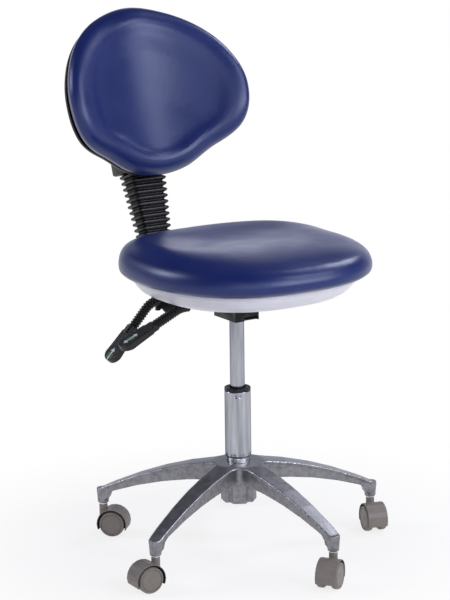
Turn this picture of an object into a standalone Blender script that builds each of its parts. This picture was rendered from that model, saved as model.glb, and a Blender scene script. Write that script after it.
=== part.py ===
"""Dentist stool: cast five-arm base on twin-wheel casters, gas lift, round padded seat with two levers,
and a padded backrest that slides on a tilting upright. Metres, +Z up, the sitter faces -Y."""

import math

import bmesh
import bpy
from mathutils import Matrix, Vector

# Driving sizes. Each height builds on the piece below it, and plan places are from the column's axis.
COLUMN_AT = (0.0062, -0.0461)
FIT = 0.0003

# Casters, in the frame of a caster whose stem is at the origin and whose wheels trail along +X
CASTER_TRAIL = 0.0200
CASTER_TRAIL_TURNS = (217.0, 253.0, 267.0, 316.0, 179.0)
WHEEL_RADIUS = 0.0250
WHEEL_WIDTH = 0.0140
WHEEL_EDGE = 0.0020
WHEEL_DISH = 0.0012
WHEEL_STEPS = 18
AXLE_RADIUS = 0.0030
AXLE_END_COVER = 0.0020
HOOD_CLEARANCE = 0.0026
HOOD_WALL = 0.0024
HOOD_WEB = 0.0130
HOOD_OVERHANG = 0.0010
HOOD_BELOW_AXLE = 0.0112
HOOD_SIDES = 20
NECK_RADIUS = 0.0082
NECK_RISE = 0.0060
STEM_RADIUS = 0.0055
STEM_GRIP = 0.0166
STEM_CHAMFER = 0.0010
STEM_COLLAR = 0.0034
STEM_COLLAR_RADIUS = 0.0074

# Cast base
ARM_COUNT = 5
BASE_TURN = -84.6
STEM_CIRCLE = 0.2750
BOSS_HEIGHT = 0.0325
BOSS_TOP_RADIUS = 0.0128
BOSS_BOTTOM_RADIUS = 0.0108
STEM_SOCKET = 0.0260
ARM_TIP_HALF = 0.0128
ARM_ROOT_HALF = 0.0190
ARM_ROOT = 0.0650
ARM_RISE = 0.0725
ARM_BULGE = 0.0100
ARM_TOP_FROM = 0.0480
ARM_ROOT_DEPTH = 0.0365
ARM_TIP_DEPTH = 0.0140
ARM_TIP_FILLET = 0.0130
ARM_LIP = 0.0050
ARM_LIP_OVERHANG = 0.0022
WEB_FILLET = 0.0190
WALL_FILLET = 0.0110
HUB_RADIUS = 0.0300
HUB_HEIGHT = 0.0795
HUB_EDGE = 0.0080

# Gas lift
NECK_OF_TUBE_RADIUS = 0.0215
NECK_OF_TUBE_TAPER = 0.0008
TUBE_FOOT_RECESS = 0.0085
TUBE_SHOULDER_RISE = 0.0100
TUBE_FLARE = 0.0040
TUBE_HEIGHT = 0.1402
TUBE_RADIUS = 0.0250
TUBE_WALL = 0.0018
TUBE_FLOOR = 0.0040
BUSH_FLANGE = 0.0058
BUSH_EDGE = 0.0010
BUSH_LEAD_IN = 0.0020
BUSH_DEPTH = 0.0750
ROD_RADIUS = 0.0050
ROD_SHOULDER_RADIUS = 0.0105
ROD_SHOULDER = 0.0040
PISTON_RISE = 0.0520
PISTON_LENGTH = 0.0100
BEARING_HEIGHT = 0.0060
BEARING_RADIUS = 0.0140
BUMPER_HEIGHT = 0.0070
CLIP_HEIGHT = 0.0020
CLIP_RADIUS = 0.0100
CYLINDER_RADIUS = 0.0140
CYLINDER_WALL = 0.0022
CYLINDER_IN_TUBE = 0.0712
CYLINDER_IN_BOX = 0.0240
CYLINDER_TAPER_LENGTH = 0.0280
CYLINDER_TAPER = 0.0008
CYLINDER_END = 0.0100
VALVE_DEPTH = 0.0080
BUTTON_RADIUS = 0.0040
BUTTON_RISE = 0.0066
LIFT_REACH = 0.1948

# Mechanism under the seat
PLATE_HALF_WIDTH = 0.0750
PLATE_FRONT = -0.0750
PLATE_PAST_TILT_AXIS = 0.0200
PLATE_THICKNESS = 0.0030
BOX_HALF_WIDTH = 0.0262
BOX_FRONT = -0.0362
BOX_REAR = 0.0380
BOX_DEPTH = 0.0537
BOX_NOTCH_FROM = -0.0060
BOX_NOTCH_HEIGHT = 0.0070
SOCKET_WALL = 0.0042
SOCKET_DROP = 0.0035
SOCKET_FLANGE = 0.0040
SOCKET_FLANGE_WIDTH = 0.0035
SOCKET_BELOW_TOP = 0.0020
EAR_FROM_BOX = 0.0060
EAR_BELOW_AXIS = 0.0108
EAR_HALF_LENGTH = 0.0160
TILT_AXIS_Y = 0.0760
PIN_RADIUS = 0.0050
PIN_HEAD = 0.0030
PIN_HEAD_RADIUS = 0.0080
KNUCKLE_RADIUS = 0.0090
TONGUE_LENGTH = 0.0750
TONGUE_THICKNESS = 0.0050

# Levers, in vertical planes across the stool on the sitter's right
LEVER_ROD_RADIUS = 0.0040
LEVER_ABOVE_BUTTON = 0.0012
LEVER_SLEEVE_RADIUS = 0.0092
LEVER_RIB_DEPTH = 0.0022
LEVER_RIB_PITCH = 0.0075
LEVER_SLEEVE_SLACK = 0.0011
LEVER_BEND_RADIUS = 0.0450
LEVER_STRAIGHT = 0.2000
LIFT_LEVER_Y = 0.0
LIFT_LEVER_BEND_AT = 0.1235
LIFT_LEVER_DROOP = 24.4
LIFT_SLEEVE_FROM = 0.1050
LIFT_SLEEVE_TO = 0.1830
TILT_LEVER_BEHIND_AXIS = 0.0040
TILT_LEVER_ABOVE_KNUCKLE = 0.0023
TILT_LEVER_BEND_AT = 0.1375
TILT_LEVER_DROOP = 47.0
TILT_SLEEVE_FROM = 0.1120
TILT_SLEEVE_TO = 0.1920
PADDLE_LENGTH = 0.0800
PADDLE_HALF_WIDTH = 0.0185
PADDLE_NECK_HALF_WIDTH = 0.0140
PADDLE_COLLAR = 0.0130
PADDLE_COLLAR_HALF_WIDTH = 0.0115
PADDLE_THICKNESS = 0.0120
PADDLE_EDGE = 0.0030
PADDLE_SOCKET = 0.0300

# Seat
SEAT_HALF_WIDTH = 0.2250
SEAT_FRONT = 0.2450
SEAT_BACK = 0.1780
SEAT_CENTRE_Y = -0.0100
SEAT_SQUARENESS = 2.5
SEAT_POINTS = 40
PAN_WALL = 0.0030
PAN_HEIGHT = 0.0375
PAN_TO_CUSHION = 0.0005
BOARD_THICKNESS = 0.0120
BOARD_SHARE = 0.78
CUSHION_HEIGHT = 0.0612
BOLT_X = 0.0560
BOLT_FRONT_Y = -0.0560
BOLT_REAR_Y = 0.0560
BOLT_RADIUS = 0.0040
BOLT_HEAD_RADIUS = 0.0068
BOLT_HEAD = 0.0050
PAN_BOSS_RADIUS = 0.0085
BOLT_GRIP = 0.0080
# Share of the plan and part of the cushion's height, at the back and at the front, from foot to middle
CUSHION_SECTION = (
    ((0.955, 0.147), (0.955, 0.114)),
    ((0.990, 0.327), (0.990, 0.245)),
    ((1.000, 0.539), (1.000, 0.408)),
    ((0.985, 0.768), (0.982, 0.588)),
    ((0.955, 0.923), (0.940, 0.743)),
    ((0.910, 0.993), (0.870, 0.858)),
    ((0.850, 1.000), (0.780, 0.931)),
    ((0.740, 0.961), (0.660, 0.956)),
    ((0.520, 0.866), (0.480, 0.907)),
    ((0.260, 0.801), (0.240, 0.817)),
)
CUSHION_FOOT_SHARE = 0.90
CUSHION_MIDDLE = 0.784
# Share of the plan and part of the pan's height, up its outer side
PAN_SECTION = ((0.30, 0.0), (0.69, 0.0), (0.74, 0.067), (0.82, 0.320), (0.876, 0.747), (0.892, 1.0))
# The same down its inner side, with the height above the pan's floor
PAN_INNER_SECTION = ((0.876, 0.729), (0.858, 0.725), (0.805, 0.305), (0.720, 0.035), (0.285, 0.0))

# Upright and back, whose frame leans back with its origin on the upright's axis
BACK_LEAN = 18.5
UPRIGHT_BEHIND_SEAT = 0.1397
UPRIGHT_RISE = 0.0792
UPRIGHT_HALF_WIDTH = 0.0200
UPRIGHT_THICKNESS = 0.0060
UPRIGHT_BEND_RADIUS = 0.0600
UPRIGHT_TOP = 0.1800
UPRIGHT_BOLT_RADIUS = 0.0040
UPRIGHT_BOLT_HEAD = 0.0050
UPRIGHT_BOLT_HEAD_RADIUS = 0.0068
BELLOWS_BOTTOM = -0.0780
BELLOWS_TOP = 0.0660
BELLOWS_HALF_WIDTH = 0.0410
BELLOWS_HALF_DEPTH = 0.0225
BELLOWS_SET_BACK = 0.0060
BELLOWS_CORNER = 0.0130
BELLOWS_BOTTOM_SHARE = 0.80
BELLOWS_RIBS = 12
BELLOWS_RIB_DEPTH = 0.0050
BELLOWS_WALL = 0.0020
SLIDER_HALF_WIDTH = 0.0480
SLIDER_BACK = -0.0480
SLIDER_FRONT = 0.0100
SLIDER_ABOVE_BELLOWS = 0.0005
SLIDER_HEIGHT = 0.1235
SLIDER_EDGE = 0.0050

# Backrest, outline radii every 22.5 degrees from straight down to straight up
PAD_RADII = (0.154, 0.156, 0.162, 0.195, 0.199, 0.192, 0.185, 0.181, 0.182)
PAD_CENTRE = 0.2005
PAD_POINTS = 40
PAD_WRAP = 1.60
PAD_BACK = 0.0320
PAD_DEPTH = 0.0500
# Share of the outline and part of the pad's depth, from the back edge round to the front
PAD_SECTION = (
    (0.965, 0.10),
    (1.000, 0.46),
    (0.968, 0.84),
    (0.905, 0.99),
    (0.820, 1.00),
    (0.700, 0.91),
    (0.500, 0.78),
    (0.250, 0.72),
)
PAD_MIDDLE = 0.70
BACK_SHARES = (0.3, 0.6, 0.86)
BACK_BOARD_THICKNESS = 0.0100
SHELL_WALL = 0.0035
SHELL_RIM_SHARE = 0.965
SHELL_RIM_WALL_SHARE = 0.020
SHELL_RIM_TURN_SHARE = 0.010
BACK_BOLT_FROM_BAR = 0.0075
BACK_BOLT_RADIUS = 0.0030
BACK_BOLT_HEAD_RADIUS = 0.0055
BACK_BOLT_HEAD = 0.0035
BACK_BOLT_GRIP = 0.0060

# Heights above the floor and other places worked out from the sizes above
AXLE_HEIGHT = WHEEL_RADIUS * math.cos(math.pi / WHEEL_STEPS)
HOOD_RADIUS = WHEEL_RADIUS + HOOD_CLEARANCE + HOOD_WALL
HOOD_SKIRT = AXLE_HEIGHT - HOOD_BELOW_AXLE
NECK_TOP = AXLE_HEIGHT + HOOD_RADIUS + NECK_RISE
STEM_BOTTOM = NECK_TOP - STEM_GRIP
BOSS_BOTTOM = NECK_TOP + STEM_COLLAR
ARM_TURN = 2 * math.pi / ARM_COUNT
ARM_TIP_TOP = BOSS_BOTTOM + BOSS_HEIGHT
HUB_TOP = ARM_TIP_TOP + ARM_RISE
HUB_BOTTOM = HUB_TOP - HUB_HEIGHT
TUBE_BOTTOM = HUB_BOTTOM + TUBE_FOOT_RECESS
TUBE_SHOULDER = HUB_TOP + TUBE_SHOULDER_RISE
TUBE_TOP = HUB_TOP + TUBE_HEIGHT
PAN_BOTTOM = TUBE_TOP + LIFT_REACH
PLATE_TOP = PAN_BOTTOM - FIT
PLATE_BOTTOM = PLATE_TOP - PLATE_THICKNESS
PLATE_REAR = TILT_AXIS_Y + PLATE_PAST_TILT_AXIS
BOX_BOTTOM = PLATE_TOP - BOX_DEPTH
CYLINDER_BOTTOM = TUBE_TOP - CYLINDER_IN_TUBE
CYLINDER_TOP = BOX_BOTTOM + CYLINDER_IN_BOX
CYLINDER_TAPER_FROM = CYLINDER_TOP - CYLINDER_TAPER_LENGTH
PISTON_AT = CYLINDER_BOTTOM + PISTON_RISE
BUTTON_TOP = CYLINDER_TOP + BUTTON_RISE
SOCKET_RADIUS = CYLINDER_RADIUS + FIT + SOCKET_WALL
SOCKET_FLANGE_RADIUS = SOCKET_RADIUS + SOCKET_FLANGE_WIDTH
SOCKET_BOTTOM = BOX_BOTTOM - SOCKET_DROP
SOCKET_TOP = CYLINDER_TOP - SOCKET_BELOW_TOP
LEVER_PIVOT_LEVEL = BUTTON_TOP + LEVER_ABOVE_BUTTON + LEVER_ROD_RADIUS
TILT_LEVER_Y = TILT_AXIS_Y + TILT_LEVER_BEHIND_AXIS
TILT_AXIS_Z = LEVER_PIVOT_LEVEL - LEVER_ROD_RADIUS - TILT_LEVER_ABOVE_KNUCKLE - KNUCKLE_RADIUS
EAR_X = BOX_HALF_WIDTH + EAR_FROM_BOX
PAN_TOP = PAN_BOTTOM + PAN_HEIGHT
CUSHION_BOTTOM = PAN_TOP + PAN_TO_CUSHION
BOARD_BOTTOM = CUSHION_BOTTOM - FIT - BOARD_THICKNESS
UPRIGHT_Y = SEAT_CENTRE_Y + SEAT_BACK + UPRIGHT_BEHIND_SEAT
UPRIGHT_Z = CUSHION_BOTTOM + UPRIGHT_RISE
LEAN = math.radians(BACK_LEAN)
SLIDER_BOTTOM = BELLOWS_TOP + SLIDER_ABOVE_BELLOWS
SLIDER_TOP = SLIDER_BOTTOM + SLIDER_HEIGHT

for old in list(bpy.data.objects):
    bpy.data.objects.remove(old, do_unlink=True)
PARTS = bpy.data.collections.new("dentist_stool")
CUTTERS = bpy.data.collections.new("stool_cutters")
bpy.context.scene.collection.children.link(PARTS)
bpy.context.scene.collection.children.link(CUTTERS)


def finish(name, colour, roughness, metallic=0.0):
    """A Principled material with the piece's own colour."""
    material = bpy.data.materials.new(name)
    material.use_nodes = True
    shader = material.node_tree.nodes["Principled BSDF"]
    shader.inputs["Base Color"].default_value = (*colour, 1.0)
    shader.inputs["Roughness"].default_value = roughness
    shader.inputs["Metallic"].default_value = metallic
    return material


NAVY = finish("navy_leather", (0.020, 0.035, 0.150), 0.35)
WHITE = finish("white_abs", (0.78, 0.77, 0.82), 0.40)
BLACK = finish("black_plastic", (0.020, 0.020, 0.022), 0.50)
RUBBER = finish("black_rubber", (0.015, 0.015, 0.016), 0.65)
CAST = finish("cast_aluminium", (0.56, 0.55, 0.58), 0.38, 1.0)
CHROME = finish("satin_chrome", (0.66, 0.67, 0.71), 0.22, 1.0)
STEEL = finish("bright_steel", (0.58, 0.58, 0.60), 0.30, 1.0)
DARK_STEEL = finish("black_steel", (0.025, 0.025, 0.027), 0.45, 0.3)
GREY = finish("warm_grey_nylon", (0.27, 0.24, 0.23), 0.45)
PLYWOOD = finish("plywood", (0.50, 0.36, 0.22), 0.70)


def empty(name, location, parent=None, turn=(0.0, 0.0, 0.0)):
    """A frame that carries pieces, with its origin on their joint's axis."""
    frame = bpy.data.objects.new(name, None)
    frame.location = location
    frame.rotation_euler = turn
    frame.parent = parent
    frame.empty_display_size = 0.02
    PARTS.objects.link(frame)
    return frame


def place(name, mesh, material, parent, location=(0.0, 0.0, 0.0), turn=(0.0, 0.0, 0.0)):
    """A sub-part with its material, under the frame that carries it."""
    piece = bpy.data.objects.new(name, mesh)
    if not mesh.materials:
        mesh.materials.append(material)
    piece.location = location
    piece.rotation_euler = turn
    piece.parent = parent
    PARTS.objects.link(piece)
    return piece


def cutter(name, mesh, parent, location=(0.0, 0.0, 0.0), turn=(0.0, 0.0, 0.0)):
    """A hidden solid that is cut from a piece or joined to it."""
    tool = bpy.data.objects.new(name, mesh)
    tool.location = location
    tool.rotation_euler = turn
    tool.parent = parent
    tool.hide_render = True
    tool.display_type = "WIRE"
    CUTTERS.objects.link(tool)
    return tool


def combine(piece, tool, operation):
    step = piece.modifiers.new(tool.name, "BOOLEAN")
    step.operation = operation
    step.object = tool


def mesh_from(name, make):
    """A mesh made by a function that fills a bmesh."""
    shape = bmesh.new()
    make(shape)
    mesh = bpy.data.meshes.new(name)
    shape.to_mesh(mesh)
    shape.free()
    return mesh


def smooth(mesh, angle=40.0):
    mesh.shade_smooth()
    mesh.set_sharp_from_angle(angle=math.radians(angle))
    return mesh


def baked(piece):
    """The mesh of a piece with its modifiers applied, in the piece's own frame."""
    bpy.context.view_layer.update()
    graph = bpy.context.evaluated_depsgraph_get()
    mesh = bpy.data.meshes.new_from_object(piece.evaluated_get(graph))
    return mesh


def block_mesh(name, low, high):
    """A box between two corners."""
    size = Vector(high) - Vector(low)
    middle = (Vector(high) + Vector(low)) / 2

    def make(shape):
        fit = Matrix.Translation(middle) @ Matrix.Diagonal((*size, 1.0))
        bmesh.ops.create_cube(shape, size=1.0, matrix=fit)

    return mesh_from(name, make)


def rod_mesh(name, start, end, radius, end_radius=None, sides=16):
    """A round bar or cone between two points."""
    start = Vector(start)
    end = Vector(end)
    along = end - start
    place_it = Matrix.Translation((start + end) / 2) @ along.to_track_quat("Z", "Y").to_matrix().to_4x4()

    def make(shape):
        bmesh.ops.create_cone(
            shape,
            cap_ends=True,
            segments=sides,
            radius1=radius,
            radius2=radius if end_radius is None else end_radius,
            depth=along.length,
            matrix=place_it,
        )

    return smooth(mesh_from(name, make))


def joined_mesh(name, meshes):
    """Several closed meshes in one, for a set of cutters."""

    def make(shape):
        for mesh in meshes:
            shape.from_mesh(mesh)

    return mesh_from(name, make)


def turned_mesh(name, profile, steps=24, start=0.0, ring=True):
    """A turned shape. The profile's points are (radius, height) and run down its outer side."""

    def make(shape):
        points = [shape.verts.new((r * math.cos(start), r * math.sin(start), z)) for r, z in profile]
        for first, second in zip(points, points[1:]):
            shape.edges.new((first, second))
        if ring:
            shape.edges.new((points[-1], points[0]))

    blank = cutter(name + "_profile", mesh_from(name, make), None)
    spin = blank.modifiers.new("turn", "SCREW")
    spin.steps = steps
    spin.render_steps = steps
    spin.use_merge_vertices = True
    spin.merge_threshold = 0.00001
    mesh = baked(blank)
    bpy.data.objects.remove(blank, do_unlink=True)
    return smooth(mesh)


def plate_mesh(name, outline, thickness):
    """A flat plate, centred on its mid plane, from an outline in plan."""
    curve = bpy.data.curves.new(name, "CURVE")
    curve.dimensions = "2D"
    curve.fill_mode = "BOTH"
    curve.extrude = thickness / 2
    spline = curve.splines.new("POLY")
    spline.points.add(len(outline) - 1)
    for point, (x, y) in zip(spline.points, outline):
        point.co = (x, y, 0.0, 1.0)
    spline.use_cyclic_u = True
    blank = cutter(name + "_outline", curve, None)
    flat = baked(blank)
    bpy.data.objects.remove(blank, do_unlink=True)

    def make(shape):
        shape.from_mesh(flat)
        bmesh.ops.remove_doubles(shape, verts=shape.verts, dist=0.00001)
        bmesh.ops.recalc_face_normals(shape, faces=shape.faces)

    return mesh_from(name, make)


def loft_mesh(name, rings, closed=False):
    """A skin over rings of points. Its ends are filled, or the last ring runs back to the first.
    Each step is split the same way from the smaller ring, so that nested skins stay parallel."""
    spans = [max(math.dist(point, ring[0]) for point in ring) for ring in rings]

    def make(shape):
        loops = [[shape.verts.new(point) for point in ring] for ring in rings]
        pairs = [(i, i + 1) for i in range(len(loops) - 1)]
        if closed:
            pairs.append((len(loops) - 1, 0))
        for pair in pairs:
            small, large = (loops[k] for k in sorted(pair, key=lambda k: spans[k]))
            for i in range(len(large)):
                j = (i + 1) % len(large)
                if len(small) == 1:
                    shape.faces.new((small[0], large[i], large[j]))
                else:
                    shape.faces.new((small[i], large[i], large[j]))
                    shape.faces.new((small[i], large[j], small[j]))
        if not closed:
            for end in (loops[0], loops[-1]):
                if len(end) > 2:
                    shape.faces.new(end)
        bmesh.ops.recalc_face_normals(shape, faces=shape.faces)

    return smooth(mesh_from(name, make))


def arc(centre, radius, start, end, count):
    """Points on an arc in plan, from one angle to another in radians."""
    turns = [start + (end - start) * i / count for i in range(count + 1)]
    return [(centre[0] + radius * math.cos(t), centre[1] + radius * math.sin(t)) for t in turns]


stool = empty("stool", (*COLUMN_AT, 0.0))


# Casters
def hood_mesh():
    """Half-drum cover with its web between the wheels and the neck that turns on the stem."""
    half = HOOD_WEB / 2 + FIT + WHEEL_WIDTH - HOOD_OVERHANG
    middle = Vector((CASTER_TRAIL, 0.0, AXLE_HEIGHT))
    side = Vector((0.0, 1.0, 0.0))
    ends = (middle - side * half, middle + side * half)
    drum = cutter("hood_drum", rod_mesh("hood_drum", *ends, HOOD_RADIUS, sides=HOOD_SIDES), None)
    neck = rod_mesh("hood_neck", (0.0, 0.0, AXLE_HEIGHT), (0.0, 0.0, NECK_TOP), NECK_RADIUS)
    combine(drum, cutter("hood_neck", neck, None), "UNION")
    well_radius = HOOD_RADIUS - HOOD_WALL
    wells = []
    for s in (-1, 1):
        ends = (middle + side * s * HOOD_WEB / 2, middle + side * s * HOOD_RADIUS)
        wells.append(rod_mesh("well", *ends, well_radius, sides=HOOD_SIDES))
    low = (-HOOD_RADIUS, -HOOD_RADIUS, -HOOD_RADIUS)
    skirt = block_mesh("skirt", low, (CASTER_TRAIL + 2 * HOOD_RADIUS, HOOD_RADIUS, HOOD_SKIRT))
    stem_bore = rod_mesh("stem_bore", (0, 0, STEM_BOTTOM - FIT), (0, 0, NECK_TOP + FIT), STEM_RADIUS + FIT)
    ends = (middle - side * HOOD_WEB, middle + side * HOOD_WEB)
    axle_bore = rod_mesh("axle_bore", *ends, AXLE_RADIUS + FIT, sides=12)
    for i, tool in enumerate((*wells, skirt, stem_bore, axle_bore)):
        combine(drum, cutter(f"hood_cut_{i + 1}", tool, None), "DIFFERENCE")
    mesh = smooth(baked(drum))
    bpy.data.objects.remove(drum, do_unlink=True)
    return mesh


def wheel_mesh():
    """Wheel with its rounded tread, dished outer face and blind bore, turned on +Z with the bore below."""
    bore = AXLE_RADIUS + FIT
    bore_top = WHEEL_WIDTH - AXLE_END_COVER
    rim = WHEEL_RADIUS - WHEEL_EDGE
    profile = [
        (0.0, WHEEL_WIDTH - WHEEL_DISH),
        (rim - WHEEL_EDGE, WHEEL_WIDTH - WHEEL_DISH),
        (rim, WHEEL_WIDTH),
        (WHEEL_RADIUS, WHEEL_WIDTH - WHEEL_EDGE),
        (WHEEL_RADIUS, WHEEL_EDGE),
        (rim, 0.0),
        (bore, 0.0),
        (bore, bore_top),
        (0.0, bore_top),
    ]
    flat_down = math.pi / WHEEL_STEPS - math.pi / 2
    return turned_mesh("caster_wheel", profile, WHEEL_STEPS, flat_down, ring=False)


def stem_mesh():
    """Steel stem that is pressed into the neck and turns in the arm's boss."""
    top = BOSS_BOTTOM + STEM_SOCKET - FIT
    profile = [
        (0.0, top),
        (STEM_RADIUS - STEM_CHAMFER, top),
        (STEM_RADIUS, top - STEM_CHAMFER),
        (STEM_RADIUS, BOSS_BOTTOM - FIT),
        (STEM_COLLAR_RADIUS, BOSS_BOTTOM - FIT),
        (STEM_COLLAR_RADIUS, NECK_TOP + FIT),
        (STEM_RADIUS, NECK_TOP + FIT),
        (STEM_RADIUS, STEM_BOTTOM),
        (0.0, STEM_BOTTOM),
    ]
    return turned_mesh("caster_stem", profile, 14, ring=False)


def build_casters():
    wheel_inner = HOOD_WEB / 2 + FIT
    axle_half = wheel_inner + WHEEL_WIDTH - AXLE_END_COVER - FIT
    hood = hood_mesh()
    wheel = wheel_mesh()
    stem = stem_mesh()
    axle = rod_mesh("caster_axle", (0, -axle_half, 0), (0, axle_half, 0), AXLE_RADIUS, sides=12)
    axle_at = (CASTER_TRAIL, 0.0, AXLE_HEIGHT)
    for i in range(ARM_COUNT):
        angle = math.radians(BASE_TURN) + i * ARM_TURN
        at = (STEM_CIRCLE * math.cos(angle), STEM_CIRCLE * math.sin(angle), 0.0)
        name = f"caster_{i + 1}"
        swivel = empty(name + "_swivel", at, stool, (0.0, 0.0, math.radians(CASTER_TRAIL_TURNS[i])))
        place(name + "_hood", hood, GREY, swivel)
        place(name + "_stem", stem, STEEL, swivel)
        place(name + "_axle", axle, STEEL, swivel, axle_at)
        for side, s in (("left", 1), ("right", -1)):
            at_wheel = (CASTER_TRAIL, s * wheel_inner, AXLE_HEIGHT)
            place(f"{name}_wheel_{side}", wheel, GREY, swivel, at_wheel, (-s * math.pi / 2, 0.0, 0.0))


# Cast base
def arm_share(r):
    return max((r - ARM_TOP_FROM) / (STEM_CIRCLE - ARM_TOP_FROM), 0.0)


def arm_top(r):
    """Height of the arms' top face, falling from hub to tip with a slight arch."""
    share = arm_share(r)
    return HUB_TOP + (ARM_TIP_TOP - HUB_TOP) * share + ARM_BULGE * 4 * share * (1 - share)


def arm_under(r):
    """Height of the arms' lower edge, with the fillet that runs down into the tip's boss."""
    past = min(max(r - fillet_from(), 0.0), ARM_TIP_FILLET)
    drop = ARM_TIP_FILLET - math.sqrt(ARM_TIP_FILLET**2 - past**2)
    return arm_top(r) - ARM_ROOT_DEPTH - (ARM_TIP_DEPTH - ARM_ROOT_DEPTH) * arm_share(r) - drop


def fillet_from():
    return STEM_CIRCLE - BOSS_BOTTOM_RADIUS - ARM_TIP_FILLET


def star_outline(inset, fillet):
    """Plan of the arms with round tips and a fillet in each fork."""
    tip = ARM_TIP_HALF - inset
    root = ARM_ROOT_HALF - inset
    taper = math.atan2(root - tip, STEM_CIRCLE - ARM_ROOT)
    half_fork = ARM_TURN / 2 - taper
    at_axis = root + ARM_ROOT * math.tan(taper)
    sharp = at_axis / (math.tan(taper) + math.tan(ARM_TURN / 2)) / math.cos(ARM_TURN / 2)
    fillet_at = sharp + fillet / math.sin(half_fork)
    points = []
    for i in range(ARM_COUNT):
        angle = i * ARM_TURN
        centre = (STEM_CIRCLE * math.cos(angle), STEM_CIRCLE * math.sin(angle))
        points += arc(centre, tip, angle - math.pi / 2, angle + math.pi / 2, 6)
        fork = angle + ARM_TURN / 2
        centre = (fillet_at * math.cos(fork), fillet_at * math.sin(fork))
        swing = math.pi / 2 - half_fork
        points += arc(centre, fillet, fork + math.pi + swing, fork + math.pi - swing, 5)
    return points


def arm_blank(name, inset, fillet, upper, lower):
    """Arms of one plan between an arched upper face and a lower face."""
    plan = plate_mesh(name, star_outline(inset, fillet), 3 * HUB_TOP)
    blank = cutter(name, plan, stool)
    reach = STEM_CIRCLE + 2 * ARM_TIP_HALF
    count = 4
    stations = [HUB_RADIUS]
    stations += [ARM_TOP_FROM + (fillet_from() - ARM_TOP_FROM) * i / count for i in range(count + 1)]
    stations += [fillet_from() + ARM_TIP_FILLET * part for part in (0.5, 0.8, 1.0)] + [reach]
    top = [(0.0, upper(HUB_RADIUS))] + [(r, upper(r)) for r in stations]
    under = [(r, lower(r)) for r in reversed(stations)] + [(0.0, lower(HUB_RADIUS))]
    slice_mesh = turned_mesh(name, top + under, 28, ring=False)
    combine(blank, cutter(name + "_slice", slice_mesh, stool), "INTERSECT")
    return blank


def build_base():

    def under_lip(r):
        return arm_top(r) - ARM_LIP

    def within_lip(r):
        return arm_top(r) - ARM_LIP / 2

    walls = arm_blank("arm_walls", ARM_LIP_OVERHANG, WALL_FILLET, within_lip, arm_under)
    lip = arm_blank("arm_lip", 0.0, WEB_FILLET, arm_top, under_lip)
    turned_in = HUB_EDGE * (1 - math.sqrt(0.5))
    hub = [
        (0.0, HUB_TOP - ARM_LIP / 3),
        (HUB_RADIUS, HUB_TOP - ARM_LIP / 3),
        (HUB_RADIUS, HUB_BOTTOM + HUB_EDGE),
        (HUB_RADIUS - turned_in, HUB_BOTTOM + turned_in),
        (HUB_RADIUS - HUB_EDGE, HUB_BOTTOM),
        (0.0, HUB_BOTTOM),
    ]
    bosses = []
    sockets = []
    for i in range(ARM_COUNT):
        x = STEM_CIRCLE * math.cos(i * ARM_TURN)
        y = STEM_CIRCLE * math.sin(i * ARM_TURN)
        foot = (x, y, BOSS_BOTTOM)
        boss_top = (x, y, ARM_TIP_TOP - ARM_LIP / 2)
        bosses.append(rod_mesh("boss", foot, boss_top, BOSS_BOTTOM_RADIUS, BOSS_TOP_RADIUS - FIT, 18))
        ends = ((x, y, BOSS_BOTTOM - STEM_COLLAR), (x, y, BOSS_BOTTOM + STEM_SOCKET))
        sockets.append(rod_mesh("socket", *ends, STEM_RADIUS + FIT, sides=14))
    top_radius = NECK_OF_TUBE_RADIUS + FIT
    foot_radius = top_radius - NECK_OF_TUBE_TAPER
    bore = rod_mesh("hub_bore", (0, 0, HUB_BOTTOM - FIT), (0, 0, HUB_TOP + FIT), foot_radius, top_radius, 32)
    combine(walls, lip, "UNION")
    combine(walls, cutter("base_hub", turned_mesh("base_hub", hub, 28, ring=False), stool), "UNION")
    combine(walls, cutter("base_bosses", joined_mesh("base_bosses", bosses), stool), "UNION")
    combine(walls, cutter("base_bores", joined_mesh("base_bores", sockets + [bore]), stool), "DIFFERENCE")
    star = smooth(baked(walls), 30.0)
    for tool in [obj for obj in CUTTERS.objects if obj.parent == stool]:
        bpy.data.objects.remove(tool, do_unlink=True)
    place("base_star", star, CAST, stool, turn=(0.0, 0.0, math.radians(BASE_TURN)))


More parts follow.
